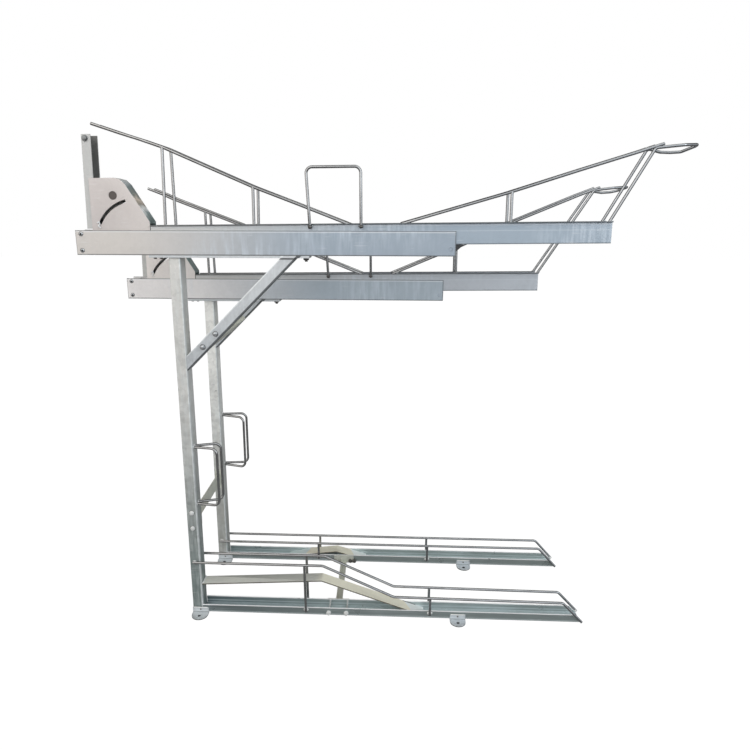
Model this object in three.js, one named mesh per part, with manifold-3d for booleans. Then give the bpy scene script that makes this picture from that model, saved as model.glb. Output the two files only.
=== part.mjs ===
// Two tier bike rack with two columns of different height, each with a floor tray below and a
// pull-out, tilting tray above. Lengths are in millimetres: +X runs from the rear of the rack to
// the handles, +Y from the high column to the low one, +Z up.
import * as THREE from 'three';
import { mergeVertices } from 'three/addons/utils/BufferGeometryUtils.js';
import Module from 'manifold-3d';

const wasm = await Module();
wasm.setup();

// Layout
const columnSpacing = 400;
const columnStagger = 205;
const highRailBottom = 1416.5;
const lowRearShift = 25;
const fitGap = 0.3;
const overrun = 12;

// Fixed rail, an upright U channel
const railLength = 1310;
const railWidth = 76;
const railHeight = 84;
const railWall = 3;
const rearStopLength = 32;
const rearStopInset = 4;

// Post, brace and the plate under the rail
const postRear = 318;
const tubeDepth = 40;
const tubeWidth = 60;
const tubeWall = 3;
const plateThickness = 8;
const plateRear = 252;
const highPlateOverhang = 44.8;
const lowPlateOverhang = 75.8;
const braceDrop = 211.5;

// Cross-ties between the columns
const tieWall = 4;
const barTieWidth = 56;
const barTieMargin = 16;
const upperTieStart = 98;
const upperTiePlate = 36;
const lowerTieBase = 359;
const lowerTieSetback = 18;
const lowerTiePlate = 34;
const floorTieRear = 887;
const floorTieDepth = 25;
const floorTieHeight = 20;
const floorTieEndMargin = 32;
const floorTieEndHeight = 36;

// Floor tray
const floorTrayWidth = 62;
const floorTrayBase = 5;
const floorTrayTop = 37;
const floorTrayWall = 2.5;
const floorTrayFront = 1852;
const floorTrayEndSlope = 30;

// Rods
const rodRadius = 5;
const rodSides = 8;
const bendRadius = 24;
const bendStep = Math.PI / 7;

// Guide rods over the floor trays
const guideRise = 226;
const guideSlopeFoot = 97;
const guideLow = 91;
const guideSlopeStart = 843;
const guideSlopeEnd = 1122;
const guideNoseStart = 1790;
const guideNoseDrop = 12;
const guideNoseEnd = 1857;
const guideTipHeight = 8.5;
const balusterFoot = 20;
const lowGuideRise = 95;

// Each upright by the X of its foot and of its head
const floorBalusters = [[774, 771], [1265, 1265]];
const lowFloorBalusters = [[784, 784], [1279, 1279]];

// Wheel ramp in the high column and wheel bump in the low one
const stripWidth = 56;
const stripThickness = 3.5;
const rampHeel = 127;
const rampCrest = [837, 154.5];
const rampEnd = 1243;
const bumpStart = 640;
const bumpShoulder = [744, 36.5];
const bumpCrest = [866, 51];
const bumpEnd = 1000;

// Feet
const footThickness = 5;
const footWidth = 64;
const footReach = 83;
const footUpright = 25;
const footHoleRadius = 6.5;
const footHoleShare = 0.7;
const frontFootWidth = 61;
const frontFootReach = 79;
const highFootX = 1374.5;
const lowFootX = 1444;

// Lock loops on the posts
const highLockLoop = { top: 702, bottom: 470, reach: 449, shift: -8 };
const lowLockLoop = { top: 693, bottom: 461, reach: 461, shift: 8 };
const lockLoopSplay = 30;
const lockLoopRoot = 8;
const lockLoopBend = 22;

// Upper tray, in the tray's own frame: X along the tray, Z from its rim
const traySlope = 0.6;
const trayRimAboveRail = 98.1;
const trayRear = 264;
const highTrayFront = 1826;
const lowTrayFront = 1690;
const trayWidth = 62;
const trayHeight = 72;
const trayWall = 3;
const trayLip = 10;

// Roller at the rail's mouth, on which the tray rolls and tilts
const mouthInset = 18;
const mouthRollerRadius = 16;
const mouthRollerWidth = 48;
const axleRadius = 6;
const axleGap = 0.4;
const cradleThickness = 2.4;
const cradleRear = 22;
const cradleNose = 44;
const cradleHeight = 36;
const cradleDepth = 12;

// Roller at the tray's tail
const tailX = 109;
const tailRollerRadius = 20;
const tailRollerWidth = 50;

// Hood over the tray's tail
const hoodRear = 58;
const hoodFront = 262;
const hoodTop = 158;
const hoodTopFront = 150;
const hoodShoulder = [171, 152.5];
const hoodSlopeStart = [187, 137];
const hoodSlopeEnd = 12;
const hoodWall = 3;
const hoodFootFront = 152;
const hoodFootDrop = 14;
const hoodHole = [142, 100];
const hoodHoleRadius = 14.5;
const hoodSlotCentre = [217, -60];
const hoodSlotRadius = 145;
const hoodSlotWidth = 11;
const hoodSlotStart = 103;
const hoodSlotEnd = 153;
const hoodTongue = 66;

// Upright wheel stop behind the hood
const stopFoot = 40;
const stopHead = 53;
const stopHeight = 299;
const stopDepth = 32;
const stopWall = 3;
const stopBase = -10;

// Lock loop on the upper tray
const trayLoopRear = 807;
const trayLoopWidth = 182;
const trayLoopHeight = 183.5;
const trayLoopLean = 9;
const trayLoopBend = 17;

// Points of the rods on the upper trays, in the tray's frame
const highRearGuide = [[94.5, 330.4], [190.1, 298.4], [255.9, 277.7], [330.7, 252], [623.3, 123.9],
  [783.7, 62.2], [941.1, 0.5]];
const highRearBalusters = { near: [[318, 327.5], [624, 626]], far: [[331, 332.5], [625, 629]] };
const highFrontGuide = [[1138.1, 1.5], [1475.1, 94], [1704.8, 163.6], [1891.4, 218.6],
  [1965.6, 241.8]];
const highFrontBaluster = [1489, 1489];
const highBar = [[1818.2, 7.4], [1940, 229], [1979.5, 232.7], [2030.6, 237.1]];
const highBarFar = [[2051, 221.5], [2016, 220], [1984, 221.5], [1942, 233]];
const highBarTip = [2094, 241];
const lowRearGuide = [[122.6, 342.1], [177.4, 320.6], [220.2, 301.1], [477.1, 201.4], [966.1, 2.3]];
const lowRearBalusters = { near: [[347.5, 347.5]], far: [[352.5, 348.5]] };
const lowFrontGuide = [[1110.1, 1.8], [1264.8, 65.2], [1360.1, 101.2], [1589.2, 203.8],
  [1830.2, 300.3], [1904.5, 327.5]];
const lowFrontBaluster = [1358, 1358];
const lowBar = [[1686.1, 2.7], [1883, 316], [1915, 321], [1955, 325]];
const lowBarFar = [[1996, 316.5], [1970, 311.5], [1935, 309.5], [1889, 317]];
const lowBarTip = [2029, 330];
const handleBend = 12;

// Sizes that follow from the ones above
const floorTrayHalf = floorTrayWidth / 2;
const sideRodY = floorTrayHalf + fitGap + rodRadius;
const trayHalf = trayWidth / 2;
const lipY = trayHalf + rodRadius;
const postFront = postRear + tubeDepth;
const lowRailBottom = highRailBottom - columnStagger;
const braceHeel = lowRailBottom - braceDrop;
const mouthX = railLength - mouthInset;
const tubeHalf = tubeWidth / 2;
const slope = THREE.MathUtils.degToRad(traySlope);
const mouthZ = -trayHeight - fitGap - mouthRollerRadius;
const sealed = { roughness: 0.55, metalness: 0.85 };

const zinc = new THREE.MeshStandardMaterial({ color: 0xb4b8bc, ...sealed });
const zincWarm = new THREE.MeshStandardMaterial({ color: 0xc2bfb8, ...sealed });
const zincDark = new THREE.MeshStandardMaterial({ color: 0x6d7678, ...sealed });
const zincBright = new THREE.MeshStandardMaterial({ color: 0xc9ccce, roughness: 0.4, metalness: 0.9 });
const rollerGrey = new THREE.MeshStandardMaterial({ color: 0x3a3d40, roughness: 0.7, metalness: 0 });

// Solids and meshes

function solidOf(geometry) {
  const bare = geometry.clone();
  bare.deleteAttribute('normal');
  bare.deleteAttribute('uv');
  const welded = mergeVertices(bare);
  return new wasm.Manifold(new wasm.Mesh({
    numProp: 3,
    vertProperties: new Float32Array(welded.attributes.position.array),
    triVerts: new Uint32Array(welded.index.array),
  }));
}

function joined(solids) {
  return solids.reduce((sum, next) => sum.add(next));
}

function addPart(parent, name, solid, material) {
  const { vertProperties, triVerts } = solid.getMesh();
  const geometry = new THREE.BufferGeometry();
  geometry.setAttribute('position', new THREE.BufferAttribute(new Float32Array(vertProperties), 3));
  geometry.setIndex(new THREE.BufferAttribute(new Uint32Array(triVerts), 1));
  geometry.computeVertexNormals();
  const mesh = new THREE.Mesh(geometry, material.clone());
  mesh.name = name;
  parent.add(mesh);
  return mesh;
}

function shapeOf(outline, holes = []) {
  const shape = new THREE.Shape(outline.map(([u, v]) => new THREE.Vector2(u, v)));
  for (const hole of holes) {
    shape.holes.push(new THREE.Path(hole.map(([u, v]) => new THREE.Vector2(u, v))));
  }
  return shape;
}

// An outline in X and Z, carried along Y
function alongY(outline, yLow, yHigh, holes) {
  const geometry = new THREE.ExtrudeGeometry(shapeOf(outline, holes),
    { depth: yHigh - yLow, bevelEnabled: false });
  geometry.rotateX(Math.PI / 2);
  geometry.translate(0, yHigh, 0);
  return solidOf(geometry);
}

// A section in Y and Z, carried along X
function alongX(section, xLow, xHigh) {
  const geometry = new THREE.ExtrudeGeometry(shapeOf(section),
    { depth: xHigh - xLow, bevelEnabled: false });
  const axes = new THREE.Matrix4().makeBasis(new THREE.Vector3(0, 1, 0),
    new THREE.Vector3(0, 0, 1), new THREE.Vector3(1, 0, 0));
  geometry.applyMatrix4(axes);
  geometry.translate(xLow, 0, 0);
  return solidOf(geometry);
}

// A plan outline in X and Y, carried up Z
function alongZ(outline, zLow, zHigh, holes) {
  const geometry = new THREE.ExtrudeGeometry(shapeOf(outline, holes),
    { depth: zHigh - zLow, bevelEnabled: false });
  geometry.translate(0, 0, zLow);
  return solidOf(geometry);
}

function block([xLow, xHigh], [yLow, yHigh], [zLow, zHigh]) {
  const geometry = new THREE.BoxGeometry(xHigh - xLow, yHigh - yLow, zHigh - zLow);
  geometry.translate((xLow + xHigh) / 2, (yLow + yHigh) / 2, (zLow + zHigh) / 2);
  return solidOf(geometry);
}

function pinY(x, z, radius, yLow, yHigh, sides = 24) {
  const geometry = new THREE.CylinderGeometry(radius, radius, yHigh - yLow, sides);
  geometry.translate(x, (yLow + yHigh) / 2, z);
  return solidOf(geometry);
}

function rectangle([uLow, uHigh], [vLow, vHigh]) {
  return [[uLow, vLow], [uHigh, vLow], [uHigh, vHigh], [uLow, vHigh]];
}

function arcPoints([u, v], radius, fromDegrees, toDegrees, count) {
  return Array.from({ length: count + 1 }, (_, index) => {
    const angle = THREE.MathUtils.degToRad(
      fromDegrees + ((toDegrees - fromDegrees) * index) / count);
    return [u + radius * Math.cos(angle), v + radius * Math.sin(angle)];
  });
}

// Rods

class Stations extends THREE.Curve {
  constructor(places) {
    super();
    this.places = places;
  }

  getPoint(t) {
    const last = this.places.length - 1;
    const index = Math.min(Math.floor(t * last + 1e-9), last - 1);
    return this.places[index].clone().lerp(this.places[index + 1], t * last - index);
  }

  getPointAt(u) {
    return this.getPoint(u);
  }

  getTangentAt(u) {
    const last = this.places.length - 1;
    const index = Math.round(u * last);
    const before = this.places[Math.max(index - 1, 0)];
    const after = this.places[Math.min(index + 1, last)];
    const here = this.places[index];
    const tangent = new THREE.Vector3();
    if (index > 0) tangent.add(here.clone().sub(before).normalize());
    if (index < last) tangent.add(after.clone().sub(here).normalize());
    return tangent.normalize();
  }
}

// Each corner of the route becomes a bend of the given radius
function rod(route, radius = bendRadius) {
  const points = route.map((place) => new THREE.Vector3(...place));
  const places = [points[0]];
  for (let index = 1; index < points.length - 1; index += 1) {
    const corner = points[index];
    const toBack = points[index - 1].clone().sub(corner);
    const toFront = points[index + 1].clone().sub(corner);
    const turn = Math.PI - toBack.angleTo(toFront);
    const reach = Math.min(radius * Math.tan(turn / 2), toBack.length() / 2, toFront.length() / 2);
    if (turn < bendStep) {
      places.push(corner);
    } else {
      const bend = new THREE.QuadraticBezierCurve3(
        corner.clone().addScaledVector(toBack.normalize(), reach), corner,
        corner.clone().addScaledVector(toFront.normalize(), reach));
      places.push(...bend.getPoints(Math.ceil(turn / bendStep)));
    }
  }
  places.push(points[points.length - 1]);
  const section = new THREE.Shape(arcPoints([0, 0], rodRadius, 0, 360, rodSides)
    .slice(0, rodSides).map(([u, v]) => new THREE.Vector2(u, v)));
  return solidOf(new THREE.ExtrudeGeometry(section, {
    steps: places.length - 1,
    extrudePath: new Stations(places),
  }));
}

function heightOn(route, x) {
  const index = route.findIndex((place, order) => order > 0 && place[0] >= x);
  const [[xBack, zBack], [xFront, zFront]] = [route[index - 1], route[index]];
  return zBack + ((zFront - zBack) * (x - xBack)) / (xFront - xBack);
}

function sideRod(route, y, balusters, foot) {
  const pieces = [rod(route.map(([x, z]) => [x, y, z]))];
  for (const [xFoot, xHead] of balusters) {
    pieces.push(rod([[xFoot, y, foot], [xHead, y, heightOn(route, xHead)]]));
  }
  return joined(pieces);
}

// The fixed frame of one column

function postPart(top) {
  const outer = rectangle([postRear, postFront], [-tubeHalf, tubeHalf]);
  const inner = rectangle([postRear + tubeWall, postFront - tubeWall],
    [-tubeHalf + tubeWall, tubeHalf - tubeWall]);
  return alongZ(outer, 0, top, [inner]);
}

function bracePart(top) {
  const rise = top - braceHeel;
  const face = postFront + fitGap;
  const spread = tubeDepth * Math.SQRT2;
  const inset = tubeWall * Math.SQRT2;
  const outer = alongY([[face, braceHeel], [face + rise, top], [face + rise - spread, top],
    [face, braceHeel + spread]], -tubeHalf, tubeHalf);
  const bore = alongY([[face - overrun, braceHeel + inset - overrun],
    [face + rise + overrun, top + overrun + inset],
    [face + rise + overrun, top + overrun + spread - inset],
    [face - overrun, braceHeel + spread - inset - overrun]],
  -tubeHalf + tubeWall, tubeHalf - tubeWall);
  return outer.subtract(bore);
}

function railPart(bottom) {
  const half = railWidth / 2;
  const inside = half - railWall;
  const section = [[-half, bottom], [half, bottom], [half, bottom + railHeight],
    [inside, bottom + railHeight], [inside, bottom + railWall], [-inside, bottom + railWall],
    [-inside, bottom + railHeight], [-half, bottom + railHeight]];
  const mouth = trayPoint([mouthX, mouthZ]);
  const bore = pinY(mouth[0], bottom + trayRimAboveRail + mouth[1], axleRadius + axleGap,
    -half - overrun, half + overrun);
  return alongX(section, 0, railLength).subtract(bore);
}

function rearStopPart(bottom) {
  const inside = railWidth / 2 - railWall - fitGap;
  const low = bottom + railWall + fitGap;
  const high = bottom + railHeight - rearStopInset;
  const outer = rectangle([rearStopInset, rearStopInset + rearStopLength], [-inside, inside]);
  const hollow = rectangle([rearStopInset - overrun, rearStopInset + rearStopLength - railWall],
    [-inside + railWall, inside - railWall]);
  return alongZ(outer, low, high).subtract(alongZ(hollow, low - overrun, high + overrun));
}

// The plate runs past the brace's head by the given overhang
function platePart(bottom, overhang) {
  const half = railWidth / 2;
  const base = bottom - plateThickness - fitGap;
  const front = postFront + base - braceHeel + overhang;
  return block([plateRear, front], [-half, half], [base, bottom - fitGap]);
}

function lockLoopPart(side, { top, bottom, reach, shift }) {
  const rootY = shift + side * lockLoopRoot;
  const outerY = side * lockLoopSplay;
  const tube = rod([[postFront - overrun, rootY, top], [reach, outerY, top],
    [reach, outerY, bottom], [postFront - overrun, rootY, bottom]], lockLoopBend);
  const heights = [bottom - tubeWidth, top + tubeWidth];
  const wall = block([postRear, postFront + fitGap], [-tubeWidth, tubeWidth], heights);
  const half = block([postRear, reach + tubeWidth],
    side > 0 ? [shift + fitGap / 2, tubeWidth] : [-tubeWidth, shift - fitGap / 2], heights);
  return tube.subtract(wall).intersect(half);
}

function floorTrayPart() {
  const half = floorTrayHalf;
  const inside = half - floorTrayWall;
  const low = floorTrayBase + floorTrayWall;
  const section = [[-half, floorTrayBase], [half, floorTrayBase], [half, floorTrayTop],
    [inside, floorTrayTop], [inside, low], [-inside, low], [-inside, floorTrayTop],
    [-half, floorTrayTop]];
  const rear = postFront + fitGap;
  const tray = alongX(section, rear, floorTrayFront);
  const slant = alongY([[floorTrayFront, floorTrayBase + floorTrayWall],
    [floorTrayFront + overrun, floorTrayBase + floorTrayWall],
    [floorTrayFront + overrun, floorTrayTop + overrun],
    [floorTrayFront - floorTrayEndSlope - overrun, floorTrayTop + overrun],
    [floorTrayFront - floorTrayEndSlope, floorTrayTop]], -half - overrun, half + overrun);
  return tray.subtract(slant);
}

// A folded strip of plate, given by the points of its upper side
function stripPart(upper) {
  const under = upper.map(([x, z]) => [x, z - stripThickness]);
  return alongY([...under, ...[...upper].reverse()], -stripWidth / 2, stripWidth / 2);
}

function footPart(x, width, reach) {
  const inner = -floorTrayHalf - fitGap;
  const round = width / 2;
  const tongue = [[x - round, inner], ...arcPoints([x, -reach + round], round, 180, 360, 10),
    [x + round, inner]];
  const hole = arcPoints([x, -reach + round * footHoleShare], footHoleRadius, 0, 360, 12)
    .slice(0, 12);
  const tab = alongZ(tongue, 0, footThickness, [hole]);
  const upright = block([x - round, x + round], [inner - footThickness, inner], [0, footUpright]);
  return tab.add(upright);
}

// Cross-ties

function endPlates(gap, xSpan, zSpan) {
  const yLow = gap + fitGap;
  const yHigh = columnSpacing - yLow;
  return [[yLow, yLow + tieWall], [yHigh - tieWall, yHigh]].map(
    (ySpan) => block(xSpan, ySpan, zSpan));
}

// A flat bar with a bolted plate at each end. X runs along the tube that it's bolted to.
function barTiePart(plateSpan) {
  const bar = block([barTieMargin, barTieMargin + barTieWidth],
    [tubeHalf + fitGap, columnSpacing - tubeHalf - fitGap], [0, tieWall]);
  const plateLength = barTieWidth + barTieMargin * 2;
  return joined([bar, ...endPlates(tubeHalf, [0, plateLength], plateSpan)]);
}

function floorTiePart() {
  const front = floorTieRear + floorTieDepth;
  const upright = floorTieRear + tieWall;
  const angle = alongY([[floorTieRear, 0], [front, 0], [front, tieWall], [upright, tieWall],
    [upright, floorTieHeight], [floorTieRear, floorTieHeight]],
  floorTrayHalf + fitGap, columnSpacing - floorTrayHalf - fitGap);
  return joined([angle, ...endPlates(floorTrayHalf,
    [floorTieRear - floorTieEndMargin, front + floorTieEndMargin], [0, floorTieEndHeight])]);
}

// The upper tray and what rides on it, in the tray's frame

function trayPoint([x, z]) {
  return [x * Math.cos(slope) - z * Math.sin(slope), x * Math.sin(slope) + z * Math.cos(slope)];
}

// Height, in the tray's frame, of the tail roller's axle when the roller stands on the rail
function tailAxleHeight(rearShift) {
  const aboveRail = railWall + fitGap + tailRollerRadius;
  return (aboveRail - trayRimAboveRail - (tailX + rearShift) * Math.sin(slope)) / Math.cos(slope);
}

function trayPart(rear, front) {
  const half = trayHalf;
  const inside = half - trayWall;
  const edge = half + trayLip;
  const section = [[-half, -trayHeight], [half, -trayHeight], [half, -trayWall],
    [edge, -trayWall], [edge, 0], [inside, 0], [inside, -trayHeight + trayWall],
    [-inside, -trayHeight + trayWall], [-inside, 0], [-edge, 0], [-edge, -trayWall],
    [-half, -trayWall]];
  return alongX(section, rear, front);
}

function hoodPart(axleZ) {
  const half = trayHalf;
  const foot = axleZ - axleRadius * 2;
  const keel = -trayHeight + hoodFootDrop / 2;
  const outline = [[hoodRear, foot], [hoodFootFront, foot], [hoodFootFront + overrun, keel],
    [hoodFront, keel], [hoodFront, hoodSlopeEnd], hoodSlopeStart, hoodShoulder,
    [hoodTopFront, hoodTop], [hoodRear + overrun / 2, hoodTop]];
  const bore = arcPoints(hoodHole, hoodHoleRadius, 0, 360, 20).slice(0, 20);
  const slot = [
    ...arcPoints(hoodSlotCentre, hoodSlotRadius + hoodSlotWidth / 2, hoodSlotStart, hoodSlotEnd, 12),
    ...arcPoints(hoodSlotCentre, hoodSlotRadius - hoodSlotWidth / 2, hoodSlotEnd, hoodSlotStart, 12),
  ];
  const shell = alongY(outline, -half, half, [bore, slot]);
  const inner = half - hoodWall;
  const room = alongY([[hoodRear - overrun, foot - overrun], [hoodFront + overrun, foot - overrun],
    [hoodFront + overrun, -overrun], [hoodFront - hoodWall, hoodSlopeEnd - hoodWall],
    [hoodSlopeStart[0] - hoodWall, hoodSlopeStart[1] - hoodWall],
    [hoodShoulder[0] - hoodWall, hoodShoulder[1] - hoodWall],
    [hoodTopFront, hoodTop - hoodWall], [hoodRear - overrun, hoodTop - hoodWall]],
  -inner, inner);
  const notch = alongY(rectangle([hoodRear - overrun, stopFrontAt(hoodTop) + fitGap],
    [0, hoodTop + overrun]), -inner, inner);
  const axle = pinY(tailX, axleZ, axleRadius, -half, half);
  const tongues = [-1, 1].map((side) => {
    const outer = side * (inner - fitGap);
    const near = side * (inner - fitGap - hoodWall);
    return block([hoodFront - hoodTongue / 2, trayRear + hoodTongue],
      [Math.min(outer, near), Math.max(outer, near)],
      [-trayHeight + trayWall + fitGap, -trayHeight / 3]);
  });
  const pads = [-1, 1].map((side) => {
    const near = side * (inner - fitGap - hoodWall);
    const outer = side * (inner + hoodWall / 2);
    return block([hoodFront - hoodTongue / 2, hoodFront],
      [Math.min(outer, near), Math.max(outer, near)],
      [-trayHeight + trayWall + fitGap, -trayHeight / 3]);
  });
  return joined([shell.subtract(room).subtract(notch), axle, ...tongues, ...pads]);
}

function stopFrontAt(height) {
  return stopFoot + stopDepth
    + ((stopHead - stopFoot) * (height - stopBase)) / (stopHeight - stopBase);
}

function wheelStopPart() {
  const half = trayHalf - hoodWall - fitGap;
  const lean = stopHead - stopFoot;
  const outline = [[stopFoot, stopBase], [stopFoot + stopDepth, stopBase],
    [stopHead + stopDepth, stopHeight], [stopHead, stopHeight]];
  const hollow = [[stopFoot + stopWall, stopBase - overrun],
    [stopFoot + stopDepth + overrun, stopBase - overrun],
    [stopHead + stopDepth + overrun, stopHeight + overrun],
    [stopFoot + stopWall + (lean * (stopHeight + overrun * 2)) / stopHeight, stopHeight + overrun]];
  const channel = alongY(outline, -half, half);
  return channel.subtract(alongY(hollow, -half + stopWall, half - stopWall));
}

function aboveRim(solid) {
  const wide = railWidth * 2;
  return solid.subtract(block([trayRear - wide * 4, highTrayFront + wide * 4], [-wide, wide],
    [-wide, fitGap]));
}

function frontGuidePart(route, baluster, bar, barFar, tip) {
  const sides = [-lipY, lipY].map((y) => sideRod(route, y, [baluster], -rodRadius * 2));
  const near = bar.map(([x, z]) => [x, -lipY, z]);
  const far = barFar.map(([x, z]) => [x, lipY, z]);
  const foot = [[bar[0][0], lipY, bar[0][1]]];
  const handle = rod([extended(near[0], near[1]), ...near.slice(1), [tip[0], 0, tip[1]], ...far,
    extended(foot[0], far[far.length - 1])], handleBend);
  return aboveRim(joined([...sides, handle]));
}

function extended([x, y, z], [xNext, , zNext]) {
  const reach = rodRadius * 3;
  const length = Math.hypot(xNext - x, zNext - z);
  return [x - ((xNext - x) * reach) / length, y, z - ((zNext - z) * reach) / length];
}

function rearGuidePart(route, y, balusters) {
  return aboveRim(sideRod(route, y, balusters, -rodRadius * 2));
}

// The loop stands outside the rods, and its two ends hook in under the tray's lip
function trayLoopPart() {
  const front = trayLoopRear + trayLoopWidth;
  const side = -trayHalf - trayLip - fitGap - rodRadius;
  const root = -trayHalf - fitGap;
  const hook = -trayWall - rodRadius * 1.5;
  return rod([[trayLoopRear + trayLoopLean, root, hook], [trayLoopRear + trayLoopLean, side, hook],
    [trayLoopRear, side, trayLoopHeight], [front, side, trayLoopHeight], [front, side, hook],
    [front, root, hook]], trayLoopBend);
}

function rollerPart(x, z, radius, width) {
  const bore = axleRadius + axleGap;
  const profile = [[bore, -width / 2], [radius - axleGap * 4, -width / 2],
    [radius, -width / 2 + axleGap * 4], [radius, width / 2 - axleGap * 4],
    [radius - axleGap * 4, width / 2], [bore, width / 2], [bore, -width / 2]];
  const geometry = new THREE.LatheGeometry(profile.map(([u, v]) => new THREE.Vector2(u, v)), 24);
  geometry.translate(x, 0, z);
  return solidOf(geometry);
}

function cradlePart() {
  const inner = trayHalf + axleGap * 2;
  const outer = inner + cradleThickness;
  const outline = [[-cradleRear, -cradleDepth], [axleRadius * 2, -cradleDepth],
    [cradleNose, mouthRollerRadius - axleGap * 4], [cradleNose, mouthRollerRadius - axleGap],
    [mouthRollerRadius, mouthRollerRadius - axleGap], [axleRadius * 2, cradleHeight],
    [-cradleRear, cradleHeight]].map(([x, z]) => [mouthX + x, mouthZ + z]);
  const plates = [alongY(outline, inner, outer), alongY(outline, -outer, -inner)];
  const axle = pinY(mouthX, mouthZ, axleRadius, -railWidth / 2 + fitGap, railWidth / 2 - fitGap);
  return joined([...plates, axle]);
}

// Assembly

const columns = [
  {
    tag: 'high', y: 0, railBottom: highRailBottom, plateOverhang: highPlateOverhang, rearShift: 0,
    trayFront: highTrayFront, rearGuide: highRearGuide, rearBalusters: highRearBalusters,
    frontGuide: highFrontGuide, frontBaluster: highFrontBaluster, bar: highBar,
    barFar: highBarFar, barTip: highBarTip, footX: highFootX,
    guide: [[postRear + overrun, guideRise], [guideSlopeStart, guideRise],
      [guideSlopeEnd, guideSlopeFoot], [guideNoseStart - guideNoseDrop, guideLow],
      [guideNoseStart, guideLow - guideNoseDrop],
      [guideNoseEnd, guideTipHeight]],
    balusters: floorBalusters, lockLoop: highLockLoop,
  },
  {
    tag: 'low', y: columnSpacing, railBottom: lowRailBottom,
    plateOverhang: lowPlateOverhang, rearShift: lowRearShift,
    trayFront: lowTrayFront, rearGuide: lowRearGuide, rearBalusters: lowRearBalusters,
    frontGuide: lowFrontGuide, frontBaluster: lowFrontBaluster, bar: lowBar,
    barFar: lowBarFar, barTip: lowBarTip, footX: lowFootX,
    guide: [[postRear + overrun, lowGuideRise], [guideNoseStart - guideNoseDrop, lowGuideRise],
      [guideNoseStart, lowGuideRise - guideNoseDrop], [guideNoseEnd, guideTipHeight]],
    balusters: lowFloorBalusters, lockLoop: lowLockLoop,
  },
];

const rack = new THREE.Group();

for (const column of columns) {
  const { tag, railBottom } = column;
  const frame = new THREE.Group();
  frame.position.y = column.y;
  rack.add(frame);

  const tubeTop = railBottom - plateThickness - fitGap * 2;
  addPart(frame, `${tag}_post`, postPart(tubeTop), zinc);
  addPart(frame, `${tag}_brace`, bracePart(tubeTop), zinc);
  addPart(frame, `${tag}_rail_plate`, platePart(railBottom, column.plateOverhang), zinc);
  addPart(frame, `${tag}_rail`, railPart(railBottom), zinc);
  addPart(frame, `${tag}_rail_rear_stop`, rearStopPart(railBottom), zinc);
  addPart(frame, `${tag}_post_foot`,
    footPart(postRear + footWidth / 2, footWidth, footReach), zincBright);
  addPart(frame, `${tag}_front_foot`,
    footPart(column.footX, frontFootWidth, frontFootReach), zincBright);
  addPart(frame, `${tag}_floor_tray`, floorTrayPart(), zincDark);
  for (const [side, word] of [[-1, 'near'], [1, 'far']]) {
    addPart(frame, `${tag}_post_lock_loop_${word}`, lockLoopPart(side, column.lockLoop), zincBright);
    addPart(frame, `${tag}_floor_guide_${word}`,
      sideRod(column.guide, side * sideRodY, column.balusters, balusterFoot), zincBright);
  }

  const carriage = new THREE.Group();
  carriage.position.z = railBottom + trayRimAboveRail;
  carriage.rotation.y = -slope;
  frame.add(carriage);
  addPart(carriage, `${tag}_mouth_cradle`, cradlePart(), zinc);
  addPart(carriage, `${tag}_mouth_roller`,
    rollerPart(mouthX, mouthZ, mouthRollerRadius, mouthRollerWidth), rollerGrey);
  addPart(carriage, `${tag}_tray`, trayPart(trayRear + column.rearShift, column.trayFront), zinc);
  addPart(carriage, `${tag}_front_guide`, frontGuidePart(column.frontGuide, column.frontBaluster,
    column.bar, column.barFar, column.barTip), zincBright);
  for (const [side, word] of [[-1, 'near'], [1, 'far']]) {
    addPart(carriage, `${tag}_rear_guide_${word}`,
      rearGuidePart(column.rearGuide, side * lipY, column.rearBalusters[word]), zincBright);
  }

  const tail = new THREE.Group();
  tail.position.x = column.rearShift;
  carriage.add(tail);
  const axleZ = tailAxleHeight(column.rearShift);
  addPart(tail, `${tag}_tray_lock_loop`, trayLoopPart(), zincBright);
  addPart(tail, `${tag}_hood`, hoodPart(axleZ), zincWarm);
  addPart(tail, `${tag}_wheel_stop`, wheelStopPart(), zincWarm);
  addPart(tail, `${tag}_tail_roller`,
    rollerPart(tailX, axleZ, tailRollerRadius, tailRollerWidth), rollerGrey);
}

const stripBase = floorTrayBase + floorTrayWall + fitGap + stripThickness;
addPart(rack, 'high_wheel_ramp',
  stripPart([[postFront + fitGap, rampHeel], rampCrest, [rampEnd, stripBase]]), zincWarm);
const lowFrame = new THREE.Group();
lowFrame.position.y = columnSpacing;
rack.add(lowFrame);
addPart(lowFrame, 'low_wheel_bump',
  stripPart([[bumpStart, stripBase], bumpShoulder, bumpCrest, [bumpEnd, stripBase]]), zincWarm);

const besideBraces = new THREE.Group();
besideBraces.position.set(postFront + fitGap, 0, braceHeel);
besideBraces.rotation.y = -Math.PI / 4;
rack.add(besideBraces);
const upperTie = barTiePart([0, upperTiePlate]).translate([upperTieStart, 0, 0]);
addPart(besideBraces, 'upper_cross_tie', upperTie, zinc);

const besidePosts = new THREE.Group();
besidePosts.position.set(postFront - lowerTieSetback, 0, lowerTieBase);
besidePosts.rotation.y = -Math.PI / 2;
rack.add(besidePosts);
const lowerTie = barTiePart([-lowerTiePlate / 2, lowerTiePlate / 2]);
addPart(besidePosts, 'lower_cross_tie', lowerTie, zinc);
addPart(rack, 'floor_cross_tie', floorTiePart(), zinc);

// The origin is the middle of the floor area that the rack takes up
const bounds = new THREE.Box3().setFromObject(rack, true);
rack.position.set(-(bounds.min.x + bounds.max.x) / 2, -(bounds.min.y + bounds.max.y) / 2, 0);

export default rack;
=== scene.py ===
import math

import bmesh
import bpy
from mathutils import Matrix, Vector, noise


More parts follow.
